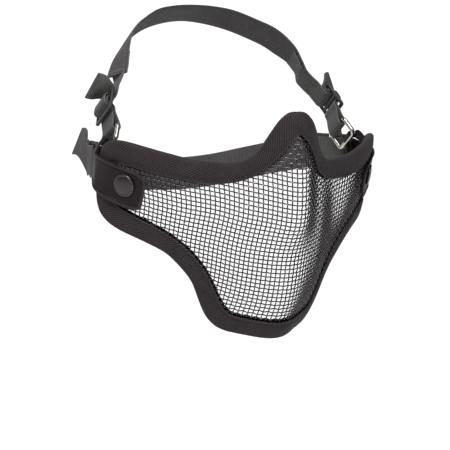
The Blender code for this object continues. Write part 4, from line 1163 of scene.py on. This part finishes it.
pale, tree, shader, place = finish_of(
    "pale floor", Roughness=0.9, Specular_IOR_Level=0.1, Emission_Strength=0.92, Emission_Color=(1, 1, 1, 1))
paper = tinted(tree, (0.30, 0.30, 0.30), place, size=0.8, depth=0.01)
tree.links.new(paper, shader.inputs["Base Color"])
bend = np.radians(np.linspace(0, 90, 16))
sweep = [(SWEEP_AT + SWEEP_ROUND * math.sin(a), FLOOR + SWEEP_ROUND * (1 - math.cos(a))) for a in bend]
line = [(-FLOOR_REACH, FLOOR), *sweep, (SWEEP_AT + SWEEP_ROUND, FLOOR_REACH)]
points = [(x, y, z) for y, z in line for x in (-FLOOR_REACH, FLOOR_REACH)]
mesh = bpy.data.meshes.new("floor")
mesh.from_pydata(points, [], [(2 * k, 2 * k + 1, 2 * k + 3, 2 * k + 2) for k in range(len(line) - 1)])
put("floor", mesh, pale)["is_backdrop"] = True

# Rows of name, place, size and power
LAMPS = (
    ("front left lamp", (-0.9, -1.1, 1.2), 0.8, 10),
    ("front right lamp", (1.2, -0.9, 0.7), 0.9, 1),
    ("top lamp", (-0.4, -0.8, 1.3), 0.9, 32),
)
for name, spot, size, power in LAMPS:
    data = bpy.data.lights.new(name, "AREA")
    data.shape, data.size, data.energy = "SQUARE", size, power
    lamp = bpy.data.objects.new(name, data)
    lamp.location = spot
    lamp.rotation_mode = "QUATERNION"
    lamp.rotation_quaternion = Vector(spot).to_track_quat("Z", "Y")
    bpy.context.scene.collection.objects.link(lamp)

# The room's own light is dim, and its far walls look as pale as the floor
world = bpy.data.worlds.new("studio")
world.use_nodes = True
tree = world.node_tree
dim = tree.nodes["Background"]
dim.inputs["Color"].default_value = (1, 1, 1, 1)
dim.inputs["Strength"].default_value = 0.03
walls = node(tree, "Background", {"Color": (1, 1, 1, 1), "Strength": 1.0})
seen = node(tree, "LightPath").outputs["Is Camera Ray"]
room = node(tree, "MixShader", {0: seen, 1: dim.outputs[0], 2: walls.outputs[0]})
tree.links.new(room.outputs[0], tree.nodes["World Output"].inputs["Surface"])
bpy.context.scene.world = world
bpy.context.scene.view_settings.view_transform = "Standard"

CAMERA_TURN = math.radians(-26.5)
CAMERA_RISE = math.radians(7.0)
CAMERA_AWAY = 0.950
CAMERA_SIDE = -0.8       # the picture's middle from the origin, in pixels
CAMERA_LIFT = -44.5
PIXEL = 0.000715         # metres at the origin's distance
FOCAL_PIXELS = 1328.7
FRAME_PIXELS = 450

level = math.cos(CAMERA_RISE)
back = Vector((math.sin(CAMERA_TURN) * level, -math.cos(CAMERA_TURN) * level, math.sin(CAMERA_RISE)))
right = Vector((0, 0, 1)).cross(back).normalized()
up = back.cross(right)
lens = bpy.data.cameras.new("camera")
lens.sensor_width = 36
lens.lens = lens.sensor_width * FOCAL_PIXELS / FRAME_PIXELS
lens.clip_start, lens.clip_end = 0.05, 20
camera = bpy.data.objects.new("camera", lens)
camera.matrix_world = Matrix((right, up, back)).transposed().to_4x4()
camera.location = back * CAMERA_AWAY + (right * CAMERA_SIDE + up * CAMERA_LIFT) * PIXEL
bpy.context.scene.collection.objects.link(camera)
bpy.context.scene.camera = camera

low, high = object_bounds()
